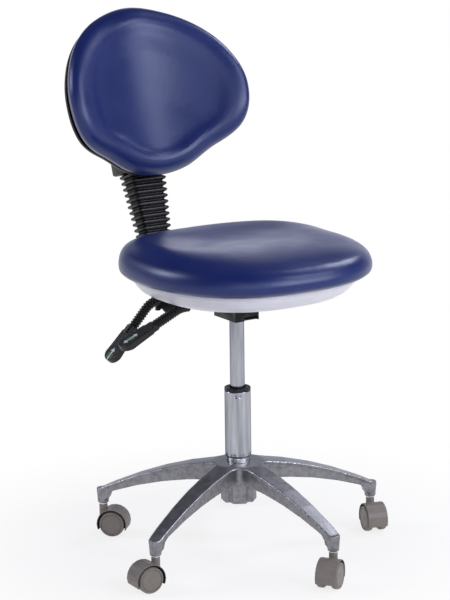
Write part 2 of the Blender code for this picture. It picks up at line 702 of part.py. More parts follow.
# Gas lift
def build_lift():
    inner = TUBE_RADIUS - TUBE_WALL
    foot = NECK_OF_TUBE_RADIUS - NECK_OF_TUBE_TAPER
    rod_hole = ROD_RADIUS + FIT
    floor = TUBE_BOTTOM + TUBE_FLOOR
    tube = [
        (TUBE_RADIUS, TUBE_TOP),
        (TUBE_RADIUS, TUBE_SHOULDER + TUBE_FLARE),
        (NECK_OF_TUBE_RADIUS, TUBE_SHOULDER),
        (NECK_OF_TUBE_RADIUS, HUB_TOP),
        (foot, TUBE_BOTTOM),
        (rod_hole, TUBE_BOTTOM),
        (rod_hole, floor),
        (foot - TUBE_WALL, floor),
        (foot - TUBE_WALL, TUBE_SHOULDER),
        (inner, TUBE_SHOULDER + TUBE_FLARE + TUBE_WALL),
        (inner, TUBE_TOP),
    ]
    place("lift_outer_tube", turned_mesh("lift_outer_tube", tube, 24), CHROME, stool)
    bush = [
        (TUBE_RADIUS - BUSH_EDGE, TUBE_TOP + BUSH_FLANGE),
        (TUBE_RADIUS, TUBE_TOP + BUSH_FLANGE - BUSH_EDGE),
        (TUBE_RADIUS, TUBE_TOP + FIT),
        (inner - FIT, TUBE_TOP + FIT),
        (inner - FIT, TUBE_TOP - BUSH_DEPTH),
        (CYLINDER_RADIUS + FIT, TUBE_TOP - BUSH_DEPTH),
        (CYLINDER_RADIUS + FIT, TUBE_TOP + BUSH_FLANGE - BUSH_LEAD_IN),
        (CYLINDER_RADIUS + BUSH_LEAD_IN, TUBE_TOP + BUSH_FLANGE),
    ]
    place("lift_guide_bush", turned_mesh("lift_guide_bush", bush, 24), BLACK, stool)
    bearing_foot = floor + FIT
    bearing_top = bearing_foot + BEARING_HEIGHT
    bearing = [
        (BEARING_RADIUS, bearing_top),
        (BEARING_RADIUS, bearing_foot),
        (rod_hole, bearing_foot),
        (rod_hole, bearing_top),
    ]
    place("lift_thrust_bearing", turned_mesh("lift_thrust_bearing", bearing, 16), STEEL, stool)

    swivel = empty("lift_swivel", (0.0, 0.0, 0.0), stool)
    clip_top = TUBE_BOTTOM - FIT
    clip = [
        (CLIP_RADIUS, clip_top),
        (CLIP_RADIUS, clip_top - CLIP_HEIGHT),
        (rod_hole, clip_top - CLIP_HEIGHT),
        (rod_hole, clip_top),
    ]
    place("lift_bottom_clip", turned_mesh("lift_bottom_clip", clip, 16), STEEL, swivel)
    shoulder = bearing_top + FIT
    bumper_foot = shoulder + ROD_SHOULDER + FIT
    bore = CYLINDER_RADIUS - CYLINDER_WALL
    rod = [
        (0.0, PISTON_AT + PISTON_LENGTH),
        (bore - FIT, PISTON_AT + PISTON_LENGTH),
        (bore - FIT, PISTON_AT),
        (ROD_RADIUS, PISTON_AT),
        (ROD_RADIUS, shoulder + ROD_SHOULDER),
        (ROD_SHOULDER_RADIUS, shoulder + ROD_SHOULDER),
        (ROD_SHOULDER_RADIUS, shoulder),
        (ROD_RADIUS, shoulder),
        (ROD_RADIUS, clip_top - CLIP_HEIGHT),
        (0.0, clip_top - CLIP_HEIGHT),
    ]
    place("lift_piston_rod", turned_mesh("lift_piston_rod", rod, 16, ring=False), STEEL, swivel)
    bumper = [
        (ROD_SHOULDER_RADIUS, bumper_foot + BUMPER_HEIGHT),
        (ROD_SHOULDER_RADIUS, bumper_foot),
        (rod_hole, bumper_foot),
        (rod_hole, bumper_foot + BUMPER_HEIGHT),
    ]
    place("lift_bumper", turned_mesh("lift_bumper", bumper, 16), RUBBER, swivel)
    return swivel


def build_cylinder(seat):
    bore = CYLINDER_RADIUS - CYLINDER_WALL
    rod_hole = ROD_RADIUS + FIT
    top_radius = CYLINDER_RADIUS - CYLINDER_TAPER
    valve_floor = CYLINDER_TOP - VALVE_DEPTH
    cylinder = [
        (top_radius, CYLINDER_TOP),
        (CYLINDER_RADIUS, CYLINDER_TAPER_FROM),
        (CYLINDER_RADIUS, CYLINDER_BOTTOM),
        (rod_hole, CYLINDER_BOTTOM),
        (rod_hole, CYLINDER_BOTTOM + CYLINDER_END),
        (bore, CYLINDER_BOTTOM + CYLINDER_END),
        (bore, CYLINDER_TAPER_FROM),
        (BUTTON_RADIUS + FIT, valve_floor - CYLINDER_END),
        (BUTTON_RADIUS + FIT, CYLINDER_TOP),
    ]
    place("lift_gas_cylinder", turned_mesh("lift_gas_cylinder", cylinder, 20), CHROME, seat)
    button_frame = empty("release_button_slide", (0.0, 0.0, BUTTON_TOP), seat)
    foot = (0, 0, valve_floor - BUTTON_TOP)
    button = rod_mesh("lift_release_button", foot, (0, 0, 0), BUTTON_RADIUS, sides=12)
    place("lift_release_button", button, STEEL, button_frame)


# Mechanism
def build_mechanism(seat):
    plate = place(
        "mechanism_plate",
        block_mesh(
            "mechanism_plate",
            (-PLATE_HALF_WIDTH, PLATE_FRONT, PLATE_BOTTOM),
            (PLATE_HALF_WIDTH, PLATE_REAR, PLATE_TOP),
        ),
        DARK_STEEL,
        seat,
    )
    box = block_mesh(
        "mechanism_box", (-BOX_HALF_WIDTH, BOX_FRONT, BOX_BOTTOM), (BOX_HALF_WIDTH, BOX_REAR, PLATE_TOP - FIT)
    )
    combine(plate, cutter("mechanism_box", box, seat), "UNION")
    ears = [
        block_mesh(
            "ear",
            (s * EAR_X - PLATE_THICKNESS / 2, TILT_AXIS_Y - EAR_HALF_LENGTH, TILT_AXIS_Z - EAR_BELOW_AXIS),
            (s * EAR_X + PLATE_THICKNESS / 2, TILT_AXIS_Y + EAR_HALF_LENGTH, PLATE_TOP - FIT),
        )
        for s in (-1, 1)
    ]
    combine(plate, cutter("mechanism_ears", joined_mesh("mechanism_ears", ears), seat), "UNION")
    hollow = block_mesh(
        "mechanism_hollow",
        (-BOX_HALF_WIDTH + PLATE_THICKNESS, BOX_FRONT + PLATE_THICKNESS, BOX_BOTTOM + PLATE_THICKNESS),
        (BOX_HALF_WIDTH - PLATE_THICKNESS, BOX_REAR - PLATE_THICKNESS, PLATE_BOTTOM),
    )
    notch = block_mesh(
        "mechanism_notch",
        (BOX_NOTCH_FROM, BOX_FRONT - PLATE_THICKNESS, BOX_BOTTOM - PLATE_THICKNESS),
        (BOX_HALF_WIDTH - PLATE_THICKNESS, BOX_FRONT + 1.5 * PLATE_THICKNESS, BOX_BOTTOM + BOX_NOTCH_HEIGHT),
    )
    through = ((0, 0, BOX_BOTTOM - FIT), (0, 0, BOX_BOTTOM + 2 * PLATE_THICKNESS))
    socket_hole = rod_mesh("socket_hole", *through, SOCKET_RADIUS + FIT, sides=24)
    lever_hole = LEVER_ROD_RADIUS + 2 * FIT
    holes = [
        rod_mesh(
            "lift_lever_hole",
            (-BOX_HALF_WIDTH - PLATE_THICKNESS, LIFT_LEVER_Y, LEVER_PIVOT_LEVEL),
            (-BOX_HALF_WIDTH + 2 * PLATE_THICKNESS, LIFT_LEVER_Y, LEVER_PIVOT_LEVEL),
            lever_hole,
            sides=12,
        ),
        rod_mesh(
            "tilt_lever_hole",
            (-EAR_X - PLATE_THICKNESS, TILT_LEVER_Y, LEVER_PIVOT_LEVEL),
            (-EAR_X + PLATE_THICKNESS, TILT_LEVER_Y, LEVER_PIVOT_LEVEL),
            lever_hole,
            sides=12,
        ),
        rod_mesh(
            "tilt_pin_hole",
            (-EAR_X - PLATE_THICKNESS, TILT_AXIS_Y, TILT_AXIS_Z),
            (EAR_X + PLATE_THICKNESS, TILT_AXIS_Y, TILT_AXIS_Z),
            PIN_RADIUS + FIT,
            sides=14,
        ),
    ]
    bolts = []
    for x, y in bolt_places():
        ends = ((x, y, PLATE_BOTTOM - FIT), (x, y, PLATE_TOP + FIT))
        bolts.append(rod_mesh("bolt_hole", *ends, BOLT_RADIUS + FIT, sides=12))
    for name, tool in (
        ("mechanism_hollow", hollow),
        ("mechanism_notch", notch),
        ("mechanism_socket_hole", socket_hole),
        ("mechanism_pivot_holes", joined_mesh("mechanism_pivot_holes", holes)),
        ("mechanism_bolt_holes", joined_mesh("mechanism_bolt_holes", bolts)),
    ):
        combine(plate, cutter(name, tool, seat), "DIFFERENCE")

    flange = BOX_BOTTOM + PLATE_THICKNESS + FIT
    slope = CYLINDER_TAPER / (CYLINDER_TOP - CYLINDER_TAPER_FROM)
    bore_top = CYLINDER_RADIUS + FIT - slope * (SOCKET_TOP - CYLINDER_TAPER_FROM)
    socket = [
        (SOCKET_RADIUS, SOCKET_TOP),
        (SOCKET_RADIUS, flange + SOCKET_FLANGE),
        (SOCKET_FLANGE_RADIUS, flange + SOCKET_FLANGE),
        (SOCKET_FLANGE_RADIUS, flange),
        (SOCKET_RADIUS, flange),
        (SOCKET_RADIUS, SOCKET_BOTTOM),
        (CYLINDER_RADIUS + FIT, SOCKET_BOTTOM),
        (bore_top, SOCKET_TOP),
    ]
    place("mechanism_socket", turned_mesh("mechanism_socket", socket, 18), DARK_STEEL, seat)


def bolt_places():
    return [(x, y) for y in (BOLT_FRONT_Y, BOLT_REAR_Y) for x in (-BOLT_X, BOLT_X)]


# Levers
def lever_path(bend_at, droop, inner_end, length):
    """Rod line in the lever's own plane: level from its inner end, a bend down, then straight."""
    droop = math.radians(droop)
    tangent = LEVER_BEND_RADIUS * math.tan(droop / 2)
    points = [(-inner_end, 0.0)]
    count = 6
    for i in range(count + 1):
        turn = droop * i / count
        along = bend_at - tangent + LEVER_BEND_RADIUS * math.sin(turn)
        points.append((along, -LEVER_BEND_RADIUS * (1 - math.cos(turn))))
    last = points[-1]
    points.append((last[0] + length * math.cos(droop), last[1] - length * math.sin(droop)))
    return points


def along_path(points, distance):
    """Point and direction on a path, at a distance from its first point."""
    for start, end in zip(points, points[1:]):
        step = math.dist(start, end)
        if distance <= step or end == points[-1]:
            share = distance / step
            direction = ((end[0] - start[0]) / step, (end[1] - start[1]) / step)
            return (start[0] + (end[0] - start[0]) * share, start[1] + (end[1] - start[1]) * share), direction
        distance -= step


def tube_mesh(name, points, radii, resolution):
    """A round tube with filled ends along points in the XZ plane, whose outward run is -X."""
    curve = bpy.data.curves.new(name, "CURVE")
    curve.dimensions = "3D"
    curve.bevel_depth = max(radii)
    curve.bevel_resolution = resolution
    curve.use_fill_caps = True
    spline = curve.splines.new("POLY")
    spline.points.add(len(points) - 1)
    for point, (along, up), radius in zip(spline.points, points, radii):
        point.co = (-along, 0.0, up, 1.0)
        point.radius = radius / max(radii)
    blank = cutter(name + "_line", curve, None)
    tube = baked(blank)
    bpy.data.objects.remove(blank, do_unlink=True)

    def make(shape):
        shape.from_mesh(tube)
        bmesh.ops.remove_doubles(shape, verts=shape.verts, dist=0.00001)
        bmesh.ops.recalc_face_normals(shape, faces=shape.faces)

    return smooth(mesh_from(name, make))


def build_lever(name, seat, pivot_x, y, bend_at, droop, inner_end, sleeve_from, sleeve_to):
    """Bent rod, ribbed rubber sleeve and flat paddle of one lever, rocking about Y at its pivot."""
    pivot = empty(name + "_pivot", (-pivot_x, y, LEVER_PIVOT_LEVEL), seat)
    path = lever_path(bend_at - pivot_x, droop, inner_end, LEVER_STRAIGHT)
    bend_saves = math.dist(path[1], path[-2]) - (path[-2][0] - path[1][0])
    sleeve_start = sleeve_from - pivot_x + inner_end
    sleeve_end = sleeve_to - pivot_x + inner_end + bend_saves
    paddle_start = sleeve_end + FIT
    rod_end = paddle_start + PADDLE_SOCKET - FIT
    bend_start = inner_end + path[1][0]
    line = [path[0]]
    line += [along_path(path, bend_start + (rod_end - bend_start) * i / 7)[0] for i in range(8)]
    rod = tube_mesh(name + "_rod", line, [LEVER_ROD_RADIUS] * len(line), 4)
    place(name + "_rod", rod, STEEL, pivot)

    steps = 2 * round((sleeve_end - sleeve_start) / LEVER_RIB_PITCH)
    length = sleeve_end - sleeve_start
    line = [along_path(path, sleeve_start + length * i / steps)[0] for i in range(steps + 1)]
    radii = [LEVER_SLEEVE_RADIUS - (LEVER_RIB_DEPTH if i % 2 == 0 else 0.0) for i in range(steps + 1)]
    sleeve = place(name + "_sleeve", tube_mesh(name + "_sleeve", line, radii, 2), RUBBER, pivot)
    past = LEVER_RIB_PITCH
    line = [along_path(path, sleeve_start - past + (length + 2 * past) * i / 8)[0] for i in range(9)]
    bore = tube_mesh(name + "_bore", line, [LEVER_ROD_RADIUS + LEVER_SLEEVE_SLACK] * len(line), 2)
    combine(sleeve, cutter(name + "_bore", bore, pivot), "DIFFERENCE")

    point, direction = along_path(path, paddle_start)
    angle = math.atan2(direction[1], direction[0])
    frame = empty(name + "_paddle_frame", (-point[0], 0.0, point[1]), pivot, (0.0, -angle, math.pi))
    tip = PADDLE_HALF_WIDTH
    half = [
        (0.0, PADDLE_COLLAR_HALF_WIDTH),
        (PADDLE_COLLAR, PADDLE_COLLAR_HALF_WIDTH),
        (PADDLE_COLLAR, PADDLE_NECK_HALF_WIDTH),
        ((PADDLE_COLLAR + PADDLE_LENGTH) / 2, (PADDLE_NECK_HALF_WIDTH + PADDLE_HALF_WIDTH) / 2),
    ]
    outline = [(a, -b) for a, b in half]
    outline += arc((PADDLE_LENGTH - tip, 0.0), tip, -math.pi / 2 + 0.2, math.pi / 2 - 0.2, 10)
    outline += list(reversed(half))
    paddle = place(name + "_paddle", plate_mesh(name + "_paddle", outline, PADDLE_THICKNESS), BLACK, frame)
    edge = paddle.modifiers.new("edge", "BEVEL")
    edge.width = PADDLE_EDGE
    edge.segments = 2
    edge.limit_method = "ANGLE"
    edge.angle_limit = math.radians(60)
    ends = ((-FIT * 4, 0, 0), (PADDLE_SOCKET, 0, 0))
    socket = rod_mesh(name + "_socket", *ends, LEVER_ROD_RADIUS + FIT, sides=12)
    combine(paddle, cutter(name + "_socket", socket, frame), "DIFFERENCE")


# Seat
def seat_ring(share, height):
    """Points of the seat's plan at a share of its size.
    Share and height may be functions of how far a point is to the front, from 0 to 1."""
    ring = []
    for i in range(SEAT_POINTS):
        turn = 2 * math.pi * i / SEAT_POINTS
        power = 2 / SEAT_SQUARENESS
        x = math.copysign(abs(math.cos(turn)) ** power, math.cos(turn))
        y = math.copysign(abs(math.sin(turn)) ** power, math.sin(turn))
        depth = SEAT_FRONT if y < 0 else SEAT_BACK
        front = ((1 - math.sin(turn)) / 2) ** 1.5
        s = share(front) if callable(share) else share
        z = height(front) if callable(height) else height
        ring.append((s * SEAT_HALF_WIDTH * x, SEAT_CENTRE_Y + s * depth * y, z))
    return ring


def mixed(back, front):
    return lambda share: back + (front - back) * share


def build_seat(seat):
    low = CUSHION_BOTTOM
    tall = CUSHION_HEIGHT
    rings = [seat_ring(CUSHION_FOOT_SHARE / 2, low), seat_ring(CUSHION_FOOT_SHARE, low)]
    for back, front in CUSHION_SECTION:
        rings.append(seat_ring(mixed(back[0], front[0]), mixed(low + tall * back[1], low + tall * front[1])))
    rings.append([(0.0, SEAT_CENTRE_Y, low + tall * CUSHION_MIDDLE)])
    place("seat_cushion", loft_mesh("seat_cushion", rings), NAVY, seat)

    board_rings = [seat_ring(BOARD_SHARE, BOARD_BOTTOM), seat_ring(BOARD_SHARE, low - FIT)]
    board = place("seat_board", loft_mesh("seat_board", board_rings), PLYWOOD, seat)
    grip = BOARD_BOTTOM + BOLT_GRIP + FIT
    threads = [
        rod_mesh("thread", (x, y, BOARD_BOTTOM - FIT), (x, y, grip), BOLT_RADIUS + FIT, sides=12)
        for x, y in bolt_places()
    ]
    combine(board, cutter("board_threads", joined_mesh("board_threads", threads), seat), "DIFFERENCE")

    floor = PAN_BOTTOM + PAN_WALL
    pan_rings = [seat_ring(share, PAN_BOTTOM + PAN_HEIGHT * part) for share, part in PAN_SECTION]
    wall_share = PAN_WALL / SEAT_HALF_WIDTH
    pan_rings.append(seat_ring(PAN_SECTION[-1][0] - wall_share, PAN_TOP))
    inside = PAN_TOP - floor
    pan_rings += [seat_ring(share, floor + inside * part) for share, part in PAN_INNER_SECTION]
    pan = place("seat_pan", loft_mesh("seat_pan", pan_rings), WHITE, seat)
    boss_top = BOARD_BOTTOM - FIT
    bosses = [
        rod_mesh("pan_boss", (x, y, floor - PAN_WALL / 2), (x, y, boss_top), PAN_BOSS_RADIUS, sides=12)
        for x, y in bolt_places()
    ]
    bores = [
        rod_mesh("pan_bore", (x, y, PAN_BOTTOM - FIT), (x, y, boss_top + FIT), BOLT_RADIUS + FIT, sides=12)
        for x, y in bolt_places()
    ]
    combine(pan, cutter("pan_bosses", joined_mesh("pan_bosses", bosses), seat), "UNION")
    combine(pan, cutter("pan_bores", joined_mesh("pan_bores", bores), seat), "DIFFERENCE")

    head_top = PLATE_BOTTOM - FIT
    bolt = [
        (0.0, BOARD_BOTTOM + BOLT_GRIP),
        (BOLT_RADIUS, BOARD_BOTTOM + BOLT_GRIP),
        (BOLT_RADIUS, head_top),
        (BOLT_HEAD_RADIUS, head_top),
        (BOLT_HEAD_RADIUS, head_top - BOLT_HEAD),
        (0.0, head_top - BOLT_HEAD),
    ]
    bolt_mesh = turned_mesh("seat_bolt", bolt, 10, ring=False)
    for i, (x, y) in enumerate(bolt_places()):
        place(f"seat_bolt_{i + 1}", bolt_mesh, STEEL, seat, (x, y, 0.0))


# Upright and tilt
def upright_foot():
    """Where the upright's axis would meet the level of its foot, and that level."""
    level = TILT_AXIS_Z + TONGUE_THICKNESS / 2 + FIT + UPRIGHT_THICKNESS / 2
    return UPRIGHT_Y - (UPRIGHT_Z - level) * math.tan(LEAN), level


def build_upright(seat):
    tilt = empty("back_tilt", (0.0, TILT_AXIS_Y, TILT_AXIS_Z), seat)
    knuckle_half = EAR_X - PLATE_THICKNESS / 2 - FIT
    bracket = place(
        "tilt_bracket",
        rod_mesh("tilt_bracket", (-knuckle_half, 0, 0), (knuckle_half, 0, 0), KNUCKLE_RADIUS, sides=20),
        DARK_STEEL,
        tilt,
    )
    tongue = block_mesh(
        "tongue",
        (-UPRIGHT_HALF_WIDTH, 0.0, -TONGUE_THICKNESS / 2),
        (UPRIGHT_HALF_WIDTH, TONGUE_LENGTH, TONGUE_THICKNESS / 2),
    )
    combine(bracket, cutter("tongue", tongue, tilt), "UNION")
    pin_half = EAR_X + PLATE_THICKNESS / 2 + FIT
    pin_bore = rod_mesh("knuckle_bore", (-EAR_X, 0, 0), (EAR_X, 0, 0), PIN_RADIUS + FIT, sides=14)
    combine(bracket, cutter("knuckle_bore", pin_bore, tilt), "DIFFERENCE")
    pin = [
        (0.0, pin_half + PIN_HEAD),
        (PIN_HEAD_RADIUS, pin_half + PIN_HEAD),
        (PIN_HEAD_RADIUS, pin_half),
        (PIN_RADIUS, pin_half),
        (PIN_RADIUS, -pin_half - PIN_HEAD),
        (0.0, -pin_half - PIN_HEAD),
    ]
    turn = (0.0, math.pi / 2, 0.0)
    pin_mesh = turned_mesh("tilt_pivot_pin", pin, 14, ring=False)
    place("tilt_pivot_pin", pin_mesh, STEEL, seat, tilt.location, turn)

    foot_y, level = upright_foot()
    turn_by = math.pi / 2 - LEAN
    tangent = UPRIGHT_BEND_RADIUS * math.tan(turn_by / 2)
    start_y = TILT_AXIS_Y + KNUCKLE_RADIUS + 3 * FIT
    half = UPRIGHT_THICKNESS / 2
    centre = (foot_y - tangent, level + UPRIGHT_BEND_RADIUS)
    top = (UPRIGHT_Y + UPRIGHT_TOP * math.sin(LEAN), UPRIGHT_Z + UPRIGHT_TOP * math.cos(LEAN))
    normal = (math.cos(LEAN), -math.sin(LEAN))
    below = [(start_y, level - half)]
    below += arc(centre, UPRIGHT_BEND_RADIUS + half, -math.pi / 2, -math.pi / 2 + turn_by, 8)
    below.append((top[0] + half * normal[0], top[1] + half * normal[1]))
    above = [(start_y, level + half)]
    above += arc(centre, UPRIGHT_BEND_RADIUS - half, -math.pi / 2, -math.pi / 2 + turn_by, 8)
    above.append((top[0] - half * normal[0], top[1] - half * normal[1]))
    outline = [(y - TILT_AXIS_Y, z - TILT_AXIS_Z) for y, z in below + list(reversed(above))]
    # The outline is drawn in plan and stood up, so that its X runs rearwards and its Y upwards.
    flat = plate_mesh("back_upright", outline, 2 * UPRIGHT_HALF_WIDTH)
    stand = Matrix(((0, 0, 1, 0), (1, 0, 0, 0), (0, 1, 0, 0), (0, 0, 0, 1)))
    flat.transform(stand)
    upright = place("back_upright", flat, DARK_STEEL, tilt)

    bolt_y = (start_y + TILT_AXIS_Y + TONGUE_LENGTH) / 2 - TILT_AXIS_Y
    bolt_top = level + half - TILT_AXIS_Z
    bolt_foot = -TONGUE_THICKNESS / 2 - FIT
    bolt = [
        (0.0, bolt_top),
        (UPRIGHT_BOLT_RADIUS, bolt_top),
        (UPRIGHT_BOLT_RADIUS, bolt_foot),
        (UPRIGHT_BOLT_HEAD_RADIUS, bolt_foot),
        (UPRIGHT_BOLT_HEAD_RADIUS, bolt_foot - UPRIGHT_BOLT_HEAD),
        (0.0, bolt_foot - UPRIGHT_BOLT_HEAD),
    ]
    place("upright_bolt", turned_mesh("upright_bolt", bolt, 12, ring=False), STEEL, tilt, (0.0, bolt_y, 0.0))
    through = ((0, bolt_y, -KNUCKLE_RADIUS), (0, bolt_y, bolt_top + FIT))
    hole = rod_mesh("upright_bolt_hole", *through, UPRIGHT_BOLT_RADIUS + FIT, sides=12)
    hole_tool = cutter("upright_bolt_hole", hole, tilt)
    combine(bracket, hole_tool, "DIFFERENCE")
    combine(upright, hole_tool, "DIFFERENCE")
    return tilt


def back_frame(name, tilt):
    """Frame of the leaning back: X across, Y to the rear along the normal, Z up along the upright."""
    at = (0.0, UPRIGHT_Y - TILT_AXIS_Y, UPRIGHT_Z - TILT_AXIS_Z)
    return empty(name, at, tilt, (-LEAN, 0.0, 0.0))


def rounded_box(half_width, half_depth, corner, height):
    """Rounded rectangle of points round the upright, set a little behind it."""
    points = []
    for i, (sx, sy) in enumerate(((1, 1), (-1, 1), (-1, -1), (1, -1))):
        centre = (sx * (half_width - corner), sy * (half_depth - corner))
        points += arc(centre, corner, i * math.pi / 2, (i + 1) * math.pi / 2, 3)
    return [(x, y + BELLOWS_SET_BACK, height) for x, y in points]


def build_bellows(tilt):
    frame = back_frame("bellows_frame", tilt)
    outer = []
    inner = []
    steps = 2 * BELLOWS_RIBS
    for i in range(steps + 1):
        share = i / steps
        height = BELLOWS_BOTTOM + (BELLOWS_TOP - BELLOWS_BOTTOM) * share
        size = BELLOWS_BOTTOM_SHARE + (1 - BELLOWS_BOTTOM_SHARE) * share
        depth = BELLOWS_RIB_DEPTH if i % 2 == 0 else 0.0
        width = size * BELLOWS_HALF_WIDTH
        thick = size * BELLOWS_HALF_DEPTH
        outer.append(rounded_box(width - depth, thick - depth, BELLOWS_CORNER - depth / 2, height))
        wall = BELLOWS_RIB_DEPTH + BELLOWS_WALL
        inner.append(rounded_box(width - wall, thick - wall, BELLOWS_CORNER - wall / 2, height))
    rings = outer + [inner[-1], inner[0]]
    place("upright_bellows", loft_mesh("upright_bellows", rings, closed=True), RUBBER, frame)


# Backrest
def pad_radius(turn):
    """Outline radius at an angle from straight down, smoothed through the given radii."""
    step = math.pi / (len(PAD_RADII) - 1)
    at = min(abs(turn), math.pi) / step
    i = min(int(at), len(PAD_RADII) - 2)
    t = at - i
    last = len(PAD_RADII) - 1
    before = PAD_RADII[abs(i - 1)]
    first = PAD_RADII[i]
    second = PAD_RADII[i + 1]
    after = PAD_RADII[last - abs(last - (i + 2))]
    bend = 2 * before - 5 * first + 4 * second - after + t * (3 * (first - second) + after - before)
    return first + 0.5 * t * (second - before + t * bend)


def pad_ring(share, forward):
    """Points of the backrest's outline at a share of its size, wrapped forward towards its sides."""
    ring = []
    for i in range(PAD_POINTS):
        turn = 2 * math.pi * i / PAD_POINTS
        turn = turn if turn <= math.pi else turn - 2 * math.pi
        radius = share * pad_radius(turn)
        x = radius * math.sin(turn)
        ring.append((x, -(forward + PAD_WRAP * x * x), PAD_CENTRE - radius * math.cos(turn)))
    return ring


def build_backrest(tilt):
    back = back_frame("back_slide", tilt)
    rings = [[(0.0, -PAD_BACK, PAD_CENTRE)]]
    rings += [pad_ring(share, PAD_BACK) for share in BACK_SHARES]
    rings += [pad_ring(share, PAD_BACK + PAD_DEPTH * part) for share, part in PAD_SECTION]
    rings.append([(0.0, -PAD_BACK - PAD_MIDDLE * PAD_DEPTH, PAD_CENTRE)])
    place("backrest_pad", loft_mesh("backrest_pad", rings), NAVY, back)

    board_front = PAD_BACK - FIT
    board_back = board_front - BACK_BOARD_THICKNESS
    rings = [[(0.0, -board_back, PAD_CENTRE)]]
    rings += [pad_ring(share, board_back) for share in BACK_SHARES]
    rings += [pad_ring(share, board_front) for share in reversed(BACK_SHARES)]
    rings.append([(0.0, -board_front, PAD_CENTRE)])
    board = place("backrest_board", loft_mesh("backrest_board", rings), PLYWOOD, back)

    shell_front = board_back - FIT
    shell_back = shell_front - SHELL_WALL
    rings = [[(0.0, -shell_back, PAD_CENTRE)]]
    rings += [pad_ring(share, shell_back) for share in BACK_SHARES]
    inner_rim = SHELL_RIM_SHARE - SHELL_RIM_WALL_SHARE
    rings += [
        pad_ring(SHELL_RIM_SHARE - SHELL_RIM_TURN_SHARE, shell_back + SHELL_WALL),
        pad_ring(SHELL_RIM_SHARE, board_front),
        pad_ring(inner_rim, board_front),
        pad_ring(inner_rim - SHELL_RIM_TURN_SHARE, shell_front),
    ]
    rings += [pad_ring(share, shell_front) for share in reversed(BACK_SHARES)]
    rings.append([(0.0, -shell_front, PAD_CENTRE)])
    shell = place("backrest_shell", loft_mesh("backrest_shell", rings), BLACK, back)

    slider_face = shell_back - FIT
    low = (-SLIDER_HALF_WIDTH, -SLIDER_FRONT, SLIDER_BOTTOM)
    block = block_mesh("back_slider", low, (SLIDER_HALF_WIDTH, -SLIDER_BACK, SLIDER_TOP))
    slider = place("back_slider", block, BLACK, back)
    edge = slider.modifiers.new("edge", "BEVEL")
    edge.width = SLIDER_EDGE
    edge.segments = 2
    neck = block_mesh(
        "slider_pad",
        (-SLIDER_HALF_WIDTH / 2, -slider_face, SLIDER_BOTTOM + SLIDER_EDGE * 4),
        (SLIDER_HALF_WIDTH / 2, -SLIDER_FRONT + SLIDER_EDGE, SLIDER_TOP - SLIDER_EDGE * 4),
    )
    combine(slider, cutter("slider_pad", neck, back), "UNION")
    gap = 1.5 * FIT
    slot = block_mesh(
        "slider_slot",
        (-UPRIGHT_HALF_WIDTH - gap, -UPRIGHT_THICKNESS / 2 - gap, SLIDER_BOTTOM - SLIDER_EDGE),
        (UPRIGHT_HALF_WIDTH + gap, UPRIGHT_THICKNESS / 2 + gap, SLIDER_TOP + SLIDER_EDGE),
    )
    combine(slider, cutter("slider_slot", slot, back), "DIFFERENCE")

    head_back = -SLIDER_BACK + FIT
    bolt_end = -(board_back + BACK_BOLT_GRIP)
    bolt = [
        (0.0, head_back + BACK_BOLT_HEAD),
        (BACK_BOLT_HEAD_RADIUS, head_back + BACK_BOLT_HEAD),
        (BACK_BOLT_HEAD_RADIUS, head_back),
        (BACK_BOLT_RADIUS, head_back),
        (BACK_BOLT_RADIUS, bolt_end),
        (0.0, bolt_end),
    ]
    bolt_mesh = turned_mesh("backrest_bolt", bolt, 10, ring=False)
    middle = (SLIDER_BOTTOM + SLIDER_TOP) / 2
    holes = []
    for i, s in enumerate((-1, 1)):
        at = (s * (UPRIGHT_HALF_WIDTH + BACK_BOLT_FROM_BAR), 0.0, middle)
        place(f"backrest_bolt_{i + 1}", bolt_mesh, STEEL, back, at, (-math.pi / 2, 0.0, 0.0))
        hole = rod_mesh(
            "back_bolt_hole",
            (at[0], bolt_end - FIT, at[2]),
            (at[0], head_back + FIT, at[2]),
            BACK_BOLT_RADIUS + FIT,
            sides=12,
        )
        holes.append(hole)
    hole_tool = cutter("back_bolt_holes", joined_mesh("back_bolt_holes", holes), back)
    for piece in (slider, shell, board):
        combine(piece, hole_tool, "DIFFERENCE")


build_base()
build_casters()
swivel = build_lift()
seat = empty("seat_lift", (0.0, 0.0, 0.0), swivel)
build_cylinder(seat)
build_mechanism(seat)
build_lever(
    "lift_lever",
    seat,
    BOX_HALF_WIDTH - PLATE_THICKNESS / 2,
    LIFT_LEVER_Y,
    LIFT_LEVER_BEND_AT,
    LIFT_LEVER_DROOP,
    BOX_HALF_WIDTH,
    LIFT_SLEEVE_FROM,
    LIFT_SLEEVE_TO,
)
build_lever(
    "tilt_lever",
    seat,
    EAR_X,
    TILT_LEVER_Y,
    TILT_LEVER_BEND_AT,
    TILT_LEVER_DROOP,
    PLATE_THICKNESS * 2,
    TILT_SLEEVE_FROM,
    TILT_SLEEVE_TO,
)
build_seat(seat)
tilt = build_upright(seat)
build_bellows(tilt)
build_backrest(tilt)
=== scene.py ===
"""Looks of the dentist stool: polished cast base on twin-wheel casters, chromed gas lift, glossy navy seat
over a white pan, two ribbed levers, and a navy backrest on a ribbed upright. Metres, sitter faces -Y."""

import math

import bmesh
import bpy
from mathutils import Matrix, Vector, noise
from mathutils.kdtree import KDTree


